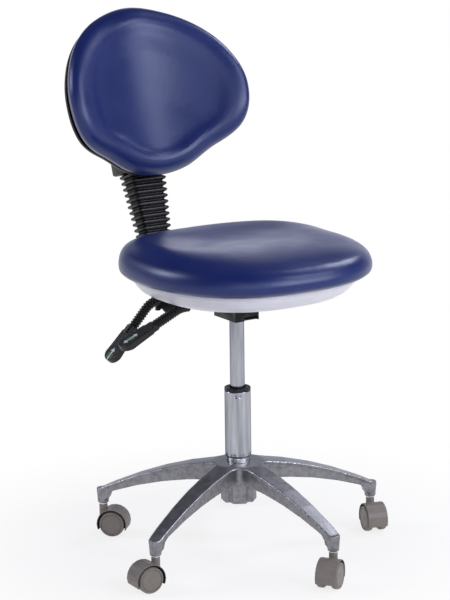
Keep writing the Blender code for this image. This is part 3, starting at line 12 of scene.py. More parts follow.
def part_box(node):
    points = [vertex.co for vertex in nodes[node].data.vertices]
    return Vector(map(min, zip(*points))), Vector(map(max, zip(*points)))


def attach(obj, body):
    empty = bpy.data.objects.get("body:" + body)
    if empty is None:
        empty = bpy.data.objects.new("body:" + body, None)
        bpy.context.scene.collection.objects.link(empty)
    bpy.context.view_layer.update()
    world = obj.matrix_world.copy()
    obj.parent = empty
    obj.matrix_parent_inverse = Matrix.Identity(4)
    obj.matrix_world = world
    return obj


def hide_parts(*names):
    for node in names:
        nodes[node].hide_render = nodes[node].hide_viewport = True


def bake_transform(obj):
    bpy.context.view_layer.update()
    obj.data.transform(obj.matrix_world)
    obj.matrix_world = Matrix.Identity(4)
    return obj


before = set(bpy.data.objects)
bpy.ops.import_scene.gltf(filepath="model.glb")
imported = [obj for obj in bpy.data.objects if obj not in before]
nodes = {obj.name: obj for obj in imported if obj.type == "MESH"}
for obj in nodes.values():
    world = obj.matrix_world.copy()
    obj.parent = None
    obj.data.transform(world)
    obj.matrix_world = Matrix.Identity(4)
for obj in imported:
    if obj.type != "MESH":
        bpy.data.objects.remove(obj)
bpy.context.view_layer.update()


def centre(node):
    """Middle of a solid's box at rest."""
    low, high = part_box(node)
    return (Vector(low) + Vector(high)) / 2


column = centre("lift_outer_tube")
foot = Vector((column.x, column.y, 0.0))
scene = bpy.context.scene

# Camera
# A long lens from the sitter's front right, a little above the seat, with the slight roll of the photograph.
CAMERA_FROM_COLUMN = Vector((-2.0797, -3.2025, 1.3817))
CAMERA_DIRECTION = Vector((0.5256, 0.8194, -0.2289))
CAMERA_ROLL = math.radians(-0.76)
CAMERA_LENS = 125.56
CAMERA_SENSOR = 36.0
camera = bpy.data.objects.new("photo_camera", bpy.data.cameras.new("photo_camera"))
camera.data.sensor_width = CAMERA_SENSOR
camera.data.lens = CAMERA_LENS
camera.data.clip_end = 100.0
turn = CAMERA_DIRECTION.to_track_quat("-Z", "Y").to_matrix().to_4x4()
roll = Matrix.Rotation(CAMERA_ROLL, 4, "Z")
camera.matrix_world = Matrix.Translation(CAMERA_FROM_COLUMN + foot) @ turn @ roll
scene.collection.objects.link(camera)
scene.camera = camera
scene.view_settings.view_transform = "Standard"

# Studio
# A white floor, a pale wall behind the stool and another behind the camera, and five softboxes.
# The room is dim overhead and at the sides, so that leather and metal have something dark to reflect.
COOL_WHITE = (0.95, 0.965, 1.08)
ROOM_COLOUR = (0.93, 0.955, 1.10, 1.0)
# Walls fade with the upward part of a direction, and sides with its part along the camera's line
WALL_EDGE = (0.18, 0.42)
WALL_LEVELS = (1.3, 0.20)
SIDE_EDGE = (0.68, 0.96)
SIDE_LEVELS = (0.34, 1.0)
PAPER_COLOUR = (0.93, 0.93, 0.93, 1.0)
FLOOR_RADIUS = 40.0
FLOOR_FADE = (0.25, 0.70)
FLOOR_GLOW = (0.80, 1.0)


def add(tree, kind, values=None, **settings):
    """A node with its settings, whose inputs are set to values or linked to other nodes' outputs."""
    made = tree.nodes.new(kind)
    for key, value in settings.items():
        setattr(made, key, value)
    for key, value in (values or {}).items():
        if isinstance(value, bpy.types.NodeSocket):
            tree.links.new(value, made.inputs[key])
        else:
            made.inputs[key].default_value = value
    return made


def worked(tree, operation, *values):
    """What a maths node makes of values or other nodes' outputs."""
    return add(tree, "ShaderNodeMath", dict(enumerate(values)), operation=operation).outputs[0]


def ranged(tree, value, edge, levels, kind="LINEAR"):
    """A value's change from one level to another between two edges."""
    span = {"Value": value, "From Min": edge[0], "From Max": edge[1]}
    span.update({"To Min": levels[0], "To Max": levels[1]})
    return add(tree, "ShaderNodeMapRange", span, interpolation_type=kind).outputs["Result"]


def softbox(name, at, towards, width, height, power):
    """A rectangular light that faces a point."""
    light = bpy.data.lights.new(name, "AREA")
    light.shape = "RECTANGLE"
    light.size = width
    light.size_y = height
    light.energy = power
    light.color = COOL_WHITE
    lamp = bpy.data.objects.new(name, light)
    aim = (Vector(towards) - Vector(at)).to_track_quat("-Z", "Y")
    lamp.matrix_world = Matrix.Translation(at) @ aim.to_matrix().to_4x4()
    scene.collection.objects.link(lamp)


softbox("softbox_front", (1.15, -2.55, 1.66), (0.0, 0.2, 0.8), 1.9, 1.0, 37.0)
softbox("softbox_high", (1.45, -1.55, 2.50), (0.0, 0.0, 0.6), 0.8, 0.8, 11.0)
softbox("softbox_right", (2.00, 0.35, 2.45), (0.0, 0.1, 0.6), 0.8, 0.8, 20.0)
softbox("softbox_left", (-2.00, 1.50, 2.00), (0.0, 0.0, 0.5), 0.8, 1.0, 26.0)
softbox("softbox_fill", (-1.10, -3.70, 2.10), (0.0, 0.0, 0.7), 3.0, 2.0, 22.0)

world = bpy.data.worlds.new("studio")
world.use_nodes = True
scene.world = world
tree = world.node_tree
tree.nodes.clear()
direction = add(tree, "ShaderNodeTexCoord").outputs["Generated"]
height = add(tree, "ShaderNodeSeparateXYZ", {0: direction}).outputs["Z"]
wall = ranged(tree, height, WALL_EDGE, WALL_LEVELS, "SMOOTHSTEP")
axis = (CAMERA_DIRECTION.x, CAMERA_DIRECTION.y, 0.0)
side = add(tree, "ShaderNodeVectorMath", {0: direction, 1: axis}, operation="DOT_PRODUCT")
side = worked(tree, "ABSOLUTE", side.outputs["Value"])
side = ranged(tree, side, SIDE_EDGE, SIDE_LEVELS, "SMOOTHSTEP")
level = worked(tree, "MULTIPLY", wall, side)
room = add(tree, "ShaderNodeBackground", {"Color": ROOM_COLOUR, "Strength": level})
add(tree, "ShaderNodeOutputWorld", {"Surface": room.outputs[0]})

floor_mesh = bpy.data.meshes.new("floor")
floor_shape = bmesh.new()
bmesh.ops.create_circle(floor_shape, cap_ends=True, segments=64, radius=FLOOR_RADIUS)
floor_shape.to_mesh(floor_mesh)
floor_shape.free()
floor = bpy.data.objects.new("floor", floor_mesh)
scene.collection.objects.link(floor)
paper = bpy.data.materials.new("white_paper")
paper.use_nodes = True
tree = paper.node_tree
shader = tree.nodes["Principled BSDF"]
shader.inputs["Base Color"].default_value = PAPER_COLOUR
shader.inputs["Roughness"].default_value = 0.9
shader.inputs["Specular IOR Level"].default_value = 0.0
place = add(tree, "ShaderNodeTexCoord").outputs["Object"]
away = add(tree, "ShaderNodeVectorMath", {0: place}, operation="LENGTH").outputs["Value"]
fade = ranged(tree, away, FLOOR_FADE, FLOOR_GLOW, "SMOOTHSTEP")
glow = add(tree, "ShaderNodeEmission", {"Color": (1.0, 1.0, 1.0, 1.0), "Strength": 1.0})
ray = add(tree, "ShaderNodeLightPath").outputs
straight = worked(tree, "MAXIMUM", ray["Is Camera Ray"], ray["Is Glossy Ray"])
straight = worked(tree, "MAXIMUM", straight, ray["Is Transmission Ray"])
seen = worked(tree, "MULTIPLY", straight, fade)
blend = add(tree, "ShaderNodeMixShader", {0: seen, 1: shader.outputs[0], 2: glow.outputs[0]})
tree.links.new(blend.outputs[0], tree.nodes["Material Output"].inputs["Surface"])
floor_mesh.materials.append(paper)

# Cast base
# Five-arm star of polished cast aluminium with its hub and tip bosses in one casting.
# The solid, with a flat panel added between the arms, is skinned again in fine even faces, so that its edges
# have a small cast radius. Walls are painted apart from the polished tops, and the edges between them
# carry a painted highlight.
COLOUR_DRIFT = (0.32, 0.68)
ROUGH_DRIFT = (0.3, 0.7)
WELD_DISTANCE = 0.00002
FLAT_WITHIN = math.radians(0.5)
HUB_RADIUS = 0.0300
PANEL_HALF_WIDTH = 0.0140
PANEL_THICKNESS = 0.0110
PANEL_SINK = 0.0035
PANEL_TOP = 0.1500
PANEL_BOTTOM = 0.0915
BASE_VOXEL = 0.0014
BASE_EASING = 9
POLISH_SLOPE = 0.62
POLISH_FADE = 0.30
# Band of normals between tops and walls that gets the painted highlight
EDGE_HIGHLIGHT_SLOPE = 0.52
EDGE_HIGHLIGHT_FADE = 0.20
MOTTLE_LEVEL = 0.14
MOTTLE = ((0.42, 110.0), (0.34, 290.0))


def finish(name, low, high, rough, bump, scale, metallic=0.0, stretch=(1.0, 1.0, 1.0), specular=0.5):
    """A Principled material whose colour and roughness drift between two values at a noise's scale.
    The bump is a scale and a height."""
    material = bpy.data.materials.new(name)
    material.use_nodes = True
    tree = material.node_tree
    shader = tree.nodes["Principled BSDF"]
    shader.inputs["Metallic"].default_value = metallic
    shader.inputs["Specular IOR Level"].default_value = specular
    place = add(tree, "ShaderNodeTexCoord").outputs["Object"]
    place = add(tree, "ShaderNodeMapping", {"Vector": place, "Scale": stretch}).outputs["Vector"]
    drift = add(tree, "ShaderNodeTexNoise", {"Vector": place, "Scale": scale, "Detail": 4.0})
    ramp = add(tree, "ShaderNodeValToRGB", {"Fac": drift.outputs["Fac"]})
    for stop, position, colour in zip(ramp.color_ramp.elements, COLOUR_DRIFT, (low, high)):
        stop.position = position
        stop.color = (*colour, 1.0)
    tree.links.new(ramp.outputs["Color"], shader.inputs["Base Color"])
    gloss = ranged(tree, drift.outputs["Fac"], ROUGH_DRIFT, rough)
    tree.links.new(gloss, shader.inputs["Roughness"])
    grain = add(tree, "ShaderNodeTexNoise", {"Vector": place, "Scale": bump[0], "Detail": 2.0})
    raised = {"Strength": 1.0, "Distance": bump[1], "Height": grain.outputs["Fac"]}
    tree.links.new(add(tree, "ShaderNodeBump", raised).outputs["Normal"], shader.inputs["Normal"])
    return material


def piece(name, mesh, material):
    """A shown piece with its place in its mesh."""
    mesh.materials.clear()
    mesh.materials.append(material)
    made = bpy.data.objects.new(name, mesh)
    scene.collection.objects.link(made)
    return made


def baked(made):
    """The mesh of an object with its modifiers applied. The object is removed."""
    bpy.context.view_layer.update()
    mesh = bpy.data.meshes.new_from_object(made.evaluated_get(bpy.context.evaluated_depsgraph_get()))
    bpy.data.objects.remove(made, do_unlink=True)
    return mesh


def mesh_from(name, make):
    """A mesh made by a function that fills a bmesh."""
    shape = bmesh.new()
    make(shape)
    mesh = bpy.data.meshes.new(name)
    shape.to_mesh(mesh)
    shape.free()
    return mesh


def merged(node):
    """A copy of a solid's mesh, with its loose triangles joined and its flat faces whole."""

    def make(shape):
        shape.from_mesh(nodes[node].data)
        bmesh.ops.remove_doubles(shape, verts=shape.verts, dist=WELD_DISTANCE)
        bmesh.ops.dissolve_limit(
            shape,
            angle_limit=FLAT_WITHIN,
            verts=shape.verts,
            edges=shape.edges,
            use_dissolve_boundaries=False,
        )

    return mesh_from(node, make)


def skinned(mesh, voxel, passes, keep=1.0):
    """A closed mesh covered again in small even faces and eased, so that its edges turn round."""
    made = bpy.data.objects.new("skin", mesh)
    scene.collection.objects.link(made)
    cover = made.modifiers.new("cover", "REMESH")
    cover.mode = "VOXEL"
    cover.voxel_size = voxel
    ease = made.modifiers.new("ease", "SMOOTH")
    ease.factor = 0.5
    ease.iterations = passes
    if keep < 1.0:
        thin = made.modifiers.new("thin", "DECIMATE")
        thin.ratio = keep
    mesh = baked(made)
    mesh.shade_smooth()
    return mesh


def painted(mesh, attribute, amount):
    """Keeps amount(vertex), from 0 to 1, on a mesh for its material."""
    marks = mesh.attributes.new(attribute, "FLOAT", "POINT")
    for mark, vertex in zip(marks.data, mesh.vertices):
        mark.value = amount(vertex)


def tinted(material, attribute, colour, rough=None):
    """Turns a material to a colour, and to a roughness, where a mesh is painted."""
    tree = material.node_tree
    shader = tree.nodes["Principled BSDF"]
    before = shader.inputs["Base Color"].links[0].from_socket
    share = add(tree, "ShaderNodeAttribute", attribute_name=attribute).outputs["Fac"]
    mixed = add(tree, "ShaderNodeMixRGB", {"Fac": share, "Color1": before, "Color2": (*colour, 1.0)})
    tree.links.new(mixed.outputs["Color"], shader.inputs["Base Color"])
    if rough is not None:
        before = shader.inputs["Roughness"].links[0].from_socket
        tree.links.new(ranged(tree, share, (0.0, 1.0), (before, rough)), shader.inputs["Roughness"])


aluminium = finish(
    "cast_aluminium",
    (0.265, 0.265, 0.280),
    (0.345, 0.345, 0.365),
    rough=(0.40, 0.52),
    bump=(700.0, 0.00010),
    scale=75.0,
    metallic=1.0,
)
tinted(aluminium, "cast_skin", (0.278, 0.275, 0.298))
tinted(aluminium, "stain", (0.085, 0.083, 0.094))
# Painted highlight: near-white, glossy edges between the tops and the walls
tinted(aluminium, "edge_highlight", (0.90, 0.90, 0.93), 0.22)
star = merged("base_star")
arms = sorted(math.atan2(*(centre(f"caster_{i}_stem") - column).yx) for i in range(1, 6))


def add_panels(shape):
    """The casting with a flat panel down the hub between each arm and the next."""
    shape.from_mesh(star)
    for turn in arms:
        at = turn + math.pi / 5
        middle = Vector((column.x, column.y, (PANEL_TOP + PANEL_BOTTOM) / 2))
        middle += Vector((math.cos(at), math.sin(at), 0.0)) * (HUB_RADIUS - PANEL_SINK)
        size = Matrix.Diagonal((PANEL_THICKNESS, 2 * PANEL_HALF_WIDTH, PANEL_TOP - PANEL_BOTTOM, 1.0))
        place = Matrix.Translation(middle) @ Matrix.Rotation(at, 4, "Z") @ size
        bmesh.ops.create_cube(shape, size=1.0, matrix=place)


casting = skinned(mesh_from("base_casting", add_panels), BASE_VOXEL, BASE_EASING)


def cast_skin(vertex):
    """Share of the as-cast walls, which the polished tops don't have."""
    return min(1.0, max(0.0, (POLISH_SLOPE - vertex.normal.z) / POLISH_FADE))


def stain(vertex):
    """Dark mottling on the as-cast walls."""
    mottle = MOTTLE_LEVEL + sum(amount * noise.noise(vertex.co * scale) for amount, scale in MOTTLE)
    return cast_skin(vertex) * min(1.0, max(0.0, mottle))


def edge_highlight(vertex):
    """Share of the edges between tops and walls that carry a painted highlight."""
    return max(0.0, 1.0 - abs(vertex.normal.z - EDGE_HIGHLIGHT_SLOPE) / EDGE_HIGHLIGHT_FADE)


painted(casting, "cast_skin", cast_skin)
painted(casting, "stain", stain)
painted(casting, "edge_highlight", edge_highlight)
base = piece("base_casting", casting, aluminium)
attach(base, "base")
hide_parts("base_star")

# Casters
# Twin-wheel casters of warm grey nylon: a hood with its neck, two wheels and a steel stem with its collar.
# The hood is skinned again from its solid, with painted shade inside it; wheels and stems are turned.
WHEEL_WIDTH = 0.0140
WHEEL_RADIUS = 0.0250
WHEEL_FROM_MIDDLE = 0.0068
# Radius about the axle within which the hood gets painted shade
HOOD_SHADE_RADIUS = 0.0288
HOOD_VOXEL = 0.0006
HOOD_EASING = 5
HOOD_KEEP = 0.35
STEM_RADIUS = 0.0055
COLLAR_RADIUS = 0.0074
COLLAR_LOW = 0.0609
COLLAR_HIGH = 0.0637
nylon = finish(
    "warm_grey_nylon",
    (0.205, 0.175, 0.150),
    (0.240, 0.208, 0.182),
    rough=(0.38, 0.52),
    bump=(1500.0, 0.00004),
    scale=30.0,
)
# Painted shade: near-black inside the hood round the wheels, where the deep gap lies in shadow
tinted(nylon, "hood_shade", (0.008, 0.008, 0.008))
steel = finish(
    "bright_steel",
    (0.52, 0.52, 0.54),
    (0.66, 0.66, 0.68),
    rough=(0.16, 0.30),
    bump=(1200.0, 0.00002),
    scale=90.0,
    metallic=1.0,
)


def rounded(points, radius, count=4):
    """A profile whose corners are turned on a small radius."""
    done = [Vector(points[0])]
    for before, corner, after in zip(points, points[1:], points[2:]):
        corner = Vector(corner)
        back = Vector(before) - corner
        ahead = Vector(after) - corner
        reach = min(radius, 0.45 * back.length, 0.45 * ahead.length)
        start = corner + back.normalized() * reach
        end = corner + ahead.normalized() * reach
        for i in range(count + 1):
            t = i / count
            done.append(start * (1 - t) ** 2 + corner * 2 * t * (1 - t) + end * t * t)
    return done + [Vector(points[-1])]


def loft(name, rings):
    """A skin over rings of points, closed at its ends. A ring of one point is a pole."""

    def make(shape):
        loops = [[shape.verts.new(point) for point in ring] for ring in rings]
        for first, second in zip(loops, loops[1:]):
            for i in range(max(len(first), len(second))):
                corners = [first[i % len(first)], first[(i + 1) % len(first)]]
                corners += [second[(i + 1) % len(second)], second[i % len(second)]]
                shape.faces.new(list(dict.fromkeys(corners)))
        for end in (loops[0], loops[-1]):
            if len(end) > 2:
                shape.faces.new(end)
        bmesh.ops.recalc_face_normals(shape, faces=shape.faces)

    mesh = mesh_from(name, make)
    mesh.shade_smooth()
    return mesh


def turned(name, profile, steps, sharp=50.0, move=None):
    """A turned shape about +Z from (radius, height) points. move(turn, height) is added to the radius."""
    rings = []
    for radius, height in profile:
        if radius < 0.00001:
            rings.append([(0.0, 0.0, height)])
            continue
        ring = []
        for i in range(steps):
            turn = 2 * math.pi * i / steps
            r = radius + (move(turn, height) if move else 0.0)
            ring.append((r * math.cos(turn), r * math.sin(turn), height))
        rings.append(ring)
    mesh = loft(name, rings)
    mesh.set_sharp_from_angle(angle=math.radians(sharp))
    return mesh


wheel_profile = [
    (0.0, WHEEL_WIDTH - 0.0006),
    (0.0050, WHEEL_WIDTH - 0.0006),
    (0.0054, WHEEL_WIDTH - 0.0013),
    (0.0192, WHEEL_WIDTH - 0.0009),
    (0.0194, WHEEL_WIDTH - 0.0019),
    (0.0206, WHEEL_WIDTH - 0.0019),
    (0.0208, WHEEL_WIDTH - 0.0004),
    (0.0230, WHEEL_WIDTH),
    (WHEEL_RADIUS, WHEEL_WIDTH - 0.0030),
    (WHEEL_RADIUS, 0.0030),
    (0.0225, 0.0),
    (0.0, 0.0),
]
wheel_mesh = turned("wheel", rounded(wheel_profile, 0.0012, 3), 72)
axle_height = centre("caster_1_axle").z


def caster_place(number):
    """A caster's place, at its stem with +X to its axle, and how far that axle trails."""
    stem = centre(f"caster_{number}_stem")
    trail = centre(f"caster_{number}_axle") - stem
    heading = Matrix.Rotation(math.atan2(trail.y, trail.x), 4, "Z")
    return Matrix.Translation((stem.x, stem.y, 0.0)) @ heading, trail.to_2d().length


first_home, first_trail = caster_place(1)
hood_mesh = merged("caster_1_hood")
hood_mesh.transform(first_home.inverted())
hood_mesh = skinned(hood_mesh, HOOD_VOXEL, HOOD_EASING, HOOD_KEEP)
axle = Vector((first_trail, axle_height))
# Paints the shade inside the hood, within a radius of the axle
painted(hood_mesh, "hood_shade", lambda vertex: float((vertex.co.xz - axle).length < HOOD_SHADE_RADIUS))
for i in range(1, 6):
    home, trail = caster_place(i)
    mesh = hood_mesh.copy()
    mesh.transform(home)
    hood = piece(f"caster_{i}_cover", mesh, nylon)
    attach(hood, f"caster_{i}")
    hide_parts(f"caster_{i}_hood")
    for side, s in (("left", 1), ("right", -1)):
        mesh = wheel_mesh.copy()
        reach = Vector((trail, s * WHEEL_FROM_MIDDLE, axle_height))
        mesh.transform(home @ Matrix.Translation(reach) @ Matrix.Rotation(-s * math.pi / 2, 4, "X"))
        wheel = piece(f"caster_{i}_tyre_{side}", mesh, nylon)
        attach(wheel, f"caster_{i}_wheel_{side}")
        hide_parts(f"caster_{i}_wheel_{side}")
    low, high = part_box(f"caster_{i}_stem")
    collar = [
        (0.0, high[2]),
        (STEM_RADIUS, high[2]),
        (STEM_RADIUS, COLLAR_HIGH),
        (COLLAR_RADIUS, COLLAR_HIGH),
        (COLLAR_RADIUS, COLLAR_LOW),
        (STEM_RADIUS, COLLAR_LOW),
        (STEM_RADIUS, low[2]),
        (0.0, low[2]),
    ]
    mesh = turned("collar", rounded(collar, 0.0004, 2), 40)
    mesh.transform(home)
    collar_piece = piece(f"caster_{i}_collar", mesh, steel)
    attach(collar_piece, f"caster_{i}")
    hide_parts(f"caster_{i}_stem")
    nodes[f"caster_{i}_axle"].material_slots[0].material = steel

# Gas lift
# Satin-chromed outer tube with its swaged foot and crimp dimples, black guide bush and the sliding cylinder.
# Turned about the column, with the dimples and swage marks pressed into the tube's own faces.
TUBE_RADIUS = 0.0250
TUBE_TOP = 0.3092
TUBE_MIDDLE = 0.245
TUBE_NECK = 0.0215
TUBE_SHOULDER = 0.1790
TUBE_END_RADIUS = 0.0207
TUBE_END = 0.0982
HUB_TOP = 0.1690
PRESS_STEP = 0.0009
DIMPLE_HEIGHT = 0.3010
DIMPLE_TURNS = (-2.30, -1.93)
DIMPLE_DEPTH = 0.0024
DIMPLE_SPREAD = 0.0016
SWAGE_MARKS = 26
SWAGE_HEIGHT = TUBE_SHOULDER + 0.0055
SWAGE_DEPTH = 0.0005
SWAGE_SPREAD = 0.0022
BUSH_BORE = 0.0143
BUSH_RADIUS = 0.0228
BUSH_LENGTH = 0.0750
CYLINDER_RADIUS = 0.0140
CYLINDER_TIP_RADIUS = 0.0132
CYLINDER_TOP = 0.4740
CYLINDER_TAPER = 0.4460
CYLINDER_BOTTOM = 0.2380
chrome = finish(
    "satin_chrome",
    (0.24, 0.25, 0.290),
    (0.50, 0.51, 0.565),
    rough=(0.13, 0.24),
    bump=(60.0, 0.00003),
    scale=6.0,
    metallic=1.0,
    stretch=(14.0, 14.0, 1.0),
)
chrome.node_tree.nodes["Principled BSDF"].inputs["Specular Tint"].default_value = (0.42, 0.43, 0.47, 1.0)
# Brighter polished neck above the hub, lightened further as a painted reflection of the light from the front
tinted(chrome, "neck_polish_and_reflection", (0.92, 0.92, 0.94))
black_plastic = finish(
    "black_plastic",
    (0.008, 0.008, 0.009),
    (0.014, 0.014, 0.016),
    rough=(0.34, 0.48),
    bump=(1600.0, 0.00005),
    scale=25.0,
    specular=0.30,
)
rubber = finish(
    "black_rubber",
    (0.006, 0.006, 0.007),
    (0.011, 0.011, 0.012),
    rough=(0.20, 0.30),
    bump=(900.0, 0.00003),
    scale=40.0,
    specular=0.30,
)


def pressed(turn, height):
    """Depth of the crimp dimples near the top and of the swage marks at the foot."""
    depth = 0.0
    for at in DIMPLE_TURNS:
        off = (math.remainder(turn - at, 2 * math.pi) * TUBE_RADIUS) ** 2 + (height - DIMPLE_HEIGHT) ** 2
        depth -= DIMPLE_DEPTH * math.exp(-off / (2 * DIMPLE_SPREAD**2))
    mark = 0.5 + 0.5 * math.cos(SWAGE_MARKS * turn)
    return depth - SWAGE_DEPTH * mark * math.exp(-(((height - SWAGE_HEIGHT) / SWAGE_SPREAD) ** 2))


dimpled = [(TUBE_RADIUS, TUBE_TOP - 0.0006 - PRESS_STEP * i) for i in range(18)]
swaged = [(TUBE_RADIUS, TUBE_SHOULDER + 0.0130 - PRESS_STEP * i) for i in range(10)]
tube_profile = [
    (0.0, TUBE_TOP),
    (TUBE_RADIUS - 0.0005, TUBE_TOP),
    *dimpled,
    (TUBE_RADIUS, TUBE_MIDDLE),
    *swaged,
    (0.0247, TUBE_SHOULDER + 0.0030),
    (0.0238, TUBE_SHOULDER + 0.0014),
    (0.0224, TUBE_SHOULDER + 0.0004),
    (TUBE_NECK, TUBE_SHOULDER - 0.0006),
    (TUBE_NECK, HUB_TOP),
    (TUBE_END_RADIUS, TUBE_END),
    (0.0, TUBE_END),
]
mesh = turned("tube", tube_profile, 160, 40.0, pressed)
mesh.transform(Matrix.Translation(foot))
# The neck below the shoulder gets its polish and a painted reflection
painted(mesh, "neck_polish_and_reflection", lambda vertex: float(vertex.co.z < TUBE_SHOULDER + 0.0005))
tube = piece("lift_tube", mesh, chrome)
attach(tube, "base")
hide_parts("lift_outer_tube")

bush_profile = [
    (BUSH_BORE, TUBE_TOP + 0.0040),
    (0.0165, TUBE_TOP + 0.0040),
    (0.0170, TUBE_TOP + 0.0056),
    (0.0190, TUBE_TOP + 0.0058),
    (0.0196, TUBE_TOP + 0.0048),
    (0.0222, TUBE_TOP + 0.0048),
    (BUSH_RADIUS, TUBE_TOP + 0.0058),
    (TUBE_RADIUS, TUBE_TOP + 0.0056),
    (TUBE_RADIUS, TUBE_TOP + 0.0003),
    (BUSH_RADIUS, TUBE_TOP + 0.0003),
    (BUSH_RADIUS, TUBE_TOP - BUSH_LENGTH),
    (BUSH_BORE, TUBE_TOP - BUSH_LENGTH),
    (BUSH_BORE, TUBE_TOP + 0.0040),
]
mesh = turned("bush", rounded(bush_profile, 0.0006, 3), 96, 40.0)
mesh.transform(Matrix.Translation(foot))
bush = piece("lift_bush", mesh, black_plastic)
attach(bush, "base")
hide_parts("lift_guide_bush")

cylinder_profile = [
    (0.0, CYLINDER_TOP),
    (CYLINDER_TIP_RADIUS, CYLINDER_TOP),
    (CYLINDER_RADIUS, CYLINDER_TAPER),
    (CYLINDER_RADIUS, CYLINDER_BOTTOM),
    (0.0, CYLINDER_BOTTOM),
]
mesh = turned("cylinder", rounded(cylinder_profile, 0.0008, 3), 96, 40.0)
mesh.transform(Matrix.Translation(foot))
cylinder = piece("lift_cylinder", mesh, chrome)
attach(cylinder, "seat")
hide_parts("lift_gas_cylinder")
for name in ("lift_thrust_bearing", "lift_bottom_clip", "lift_piston_rod", "lift_release_button"):
    nodes[name].material_slots[0].material = steel
nodes["lift_bumper"].material_slots[0].material = rubber

# Mechanism
# Pressed steel plate, box and ears in black paint, with the cone socket, bolts and hinge under the seat.
# Copies of the solids with their corners eased by a bevel, and a small stop that is lofted.
BEVEL_FROM = math.radians(40)
SHARP_FROM = math.radians(35)
STOP_SIDES = (0.0270, 0.0330)
black_steel = finish(
    "black_steel",
    (0.008, 0.008, 0.009),
    (0.015, 0.015, 0.016),
    rough=(0.30, 0.46),
    bump=(1300.0, 0.00005),
    scale=35.0,
    specular=0.20,
)


def eased(node, width, segments=2):
    """A copy of a solid with its sharp edges bevelled."""
    made = bpy.data.objects.new("eased", merged(node))
    scene.collection.objects.link(made)
    bevel = made.modifiers.new("bevel", "BEVEL")
    bevel.width = width
    bevel.segments = segments
    bevel.limit_method = "ANGLE"
    bevel.angle_limit = BEVEL_FROM
    bevel.harden_normals = True
    mesh = baked(made)
    mesh.shade_smooth()
    mesh.set_sharp_from_angle(angle=SHARP_FROM)
    return mesh


for node, body, width in (
    ("mechanism_plate", "seat", 0.0006),
    ("mechanism_socket", "seat", 0.0005),
    ("tilt_bracket", "back_frame", 0.0006),
    ("back_upright", "back_frame", 0.0008),
):
    part = piece(node + "_painted", eased(node, width), black_steel)
    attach(part, body)
    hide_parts(node)

# Hooked stop between the levers, hung from the pan: distance from the column and height of its outline
stop_outline = (
    (-0.1580, 0.4800),
    (-0.1575, 0.4870),
    (-0.1500, 0.4945),
    (-0.1410, 0.4980),
    (-0.1390, 0.5045),
    (-0.1290, 0.5045),
    (-0.1280, 0.4950),
    (-0.1180, 0.4910),
    (-0.1060, 0.4875),
    (-0.1060, 0.4780),
    (-0.1240, 0.4765),
    (-0.1390, 0.4745),
    (-0.1460, 0.4830),
    (-0.1520, 0.4795),
)
mesh = loft("lever_stop", [[foot + Vector((x, y, z)) for x, z in stop_outline] for y in STOP_SIDES])
mesh.set_sharp_from_angle(angle=SHARP_FROM)
stop = piece("lever_stop", mesh, black_steel)
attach(stop, "seat")
bright = [f"seat_bolt_{i}" for i in range(1, 5)] + ["backrest_bolt_1", "backrest_bolt_2", "upright_bolt"]
for name in bright + ["tilt_pivot_pin", "lift_lever_rod", "tilt_lever_rod"]:
    nodes[name].material_slots[0].material = steel

# Levers
# Bent rods in ribbed rubber sleeves with flat moulded paddles on the sitter's right.
# The ribs follow each rod's path; the paddles are skinned from the solids and carry a printed arrow.
LEVER_LEVEL = 0.4858
LEVER_BEND_RADIUS = 0.0450
SLEEVE_RADIUS = 0.0095
SLEEVE_RIB_DEPTH = 0.0019
SLEEVE_RIB_PITCH = 0.0056
RIB_STEPS = 16.0
RIB_FULLNESS = 1.7
RIB_WELD = 0.00001
PADDLE_WIDER = 1.15
PADDLE_VOXEL = 0.0007
PADDLE_EASING = 6
PADDLE_KEEP = 0.6
PRINT_FROM_SLEEVE = 0.0500
PRINT_FACING = 0.8
ARROW_SHAFT = 0.0021
ARROW_NECK = 0.0090
ARROW_TIP = 0.0170
ARROW_SLOPE = 0.95
BAR_SIDES = (0.0056, 0.0082)
BAR_REACH = 0.0060


def ribbed(name, material, profile):
    """Nodes that sweep a profile along a curve in rounded ribs, growing from its start to its end."""
    tree = bpy.data.node_groups.new(name, "GeometryNodeTree")
    tree.interface.new_socket("Geometry", in_out="INPUT", socket_type="NodeSocketGeometry")
    tree.interface.new_socket("Ribs", in_out="INPUT", socket_type="NodeSocketInt")
    for label in ("Depth", "Start Size"):
        tree.interface.new_socket(label, in_out="INPUT", socket_type="NodeSocketFloat")
    tree.interface.new_socket("Geometry", in_out="OUTPUT", socket_type="NodeSocketGeometry")
    source = add(tree, "NodeGroupInput")
    ribs = source.outputs["Ribs"]
    count = worked(tree, "MULTIPLY_ADD", ribs, RIB_STEPS, 1.0)
    path = add(tree, "GeometryNodeResampleCurve", {"Curve": source.outputs[0], "Count": count})
    share = add(tree, "GeometryNodeSplineParameter").outputs["Factor"]
    turns = worked(tree, "MULTIPLY", worked(tree, "MULTIPLY", share, ribs), 2 * math.pi)
    wave = ranged(tree, worked(tree, "COSINE", turns), (-1.0, 1.0), (0.0, 1.0))
    dip = worked(tree, "MULTIPLY", worked(tree, "POWER", wave, RIB_FULLNESS), source.outputs["Depth"])
    size = ranged(tree, share, (0.0, 1.0), (source.outputs["Start Size"], 1.0))
    scale = worked(tree, "SUBTRACT", size, dip)
    sweep = {"Curve": path.outputs[0], "Profile Curve": profile(tree), "Scale": scale, "Fill Caps": True}
    skin = add(tree, "GeometryNodeCurveToMesh", sweep)
    joined = add(tree, "GeometryNodeMergeByDistance", {"Geometry": skin.outputs[0], "Distance": RIB_WELD})
    real = add(tree, "GeometryNodeRealizeInstances", {"Geometry": joined.outputs[0]})
    smooth = add(tree, "GeometryNodeSetShadeSmooth", {"Geometry": real.outputs[0]})
    dressed = add(tree, "GeometryNodeSetMaterial", {"Geometry": smooth.outputs[0], "Material": material})
    add(tree, "NodeGroupOutput", {0: dressed.outputs[0]})
    return tree


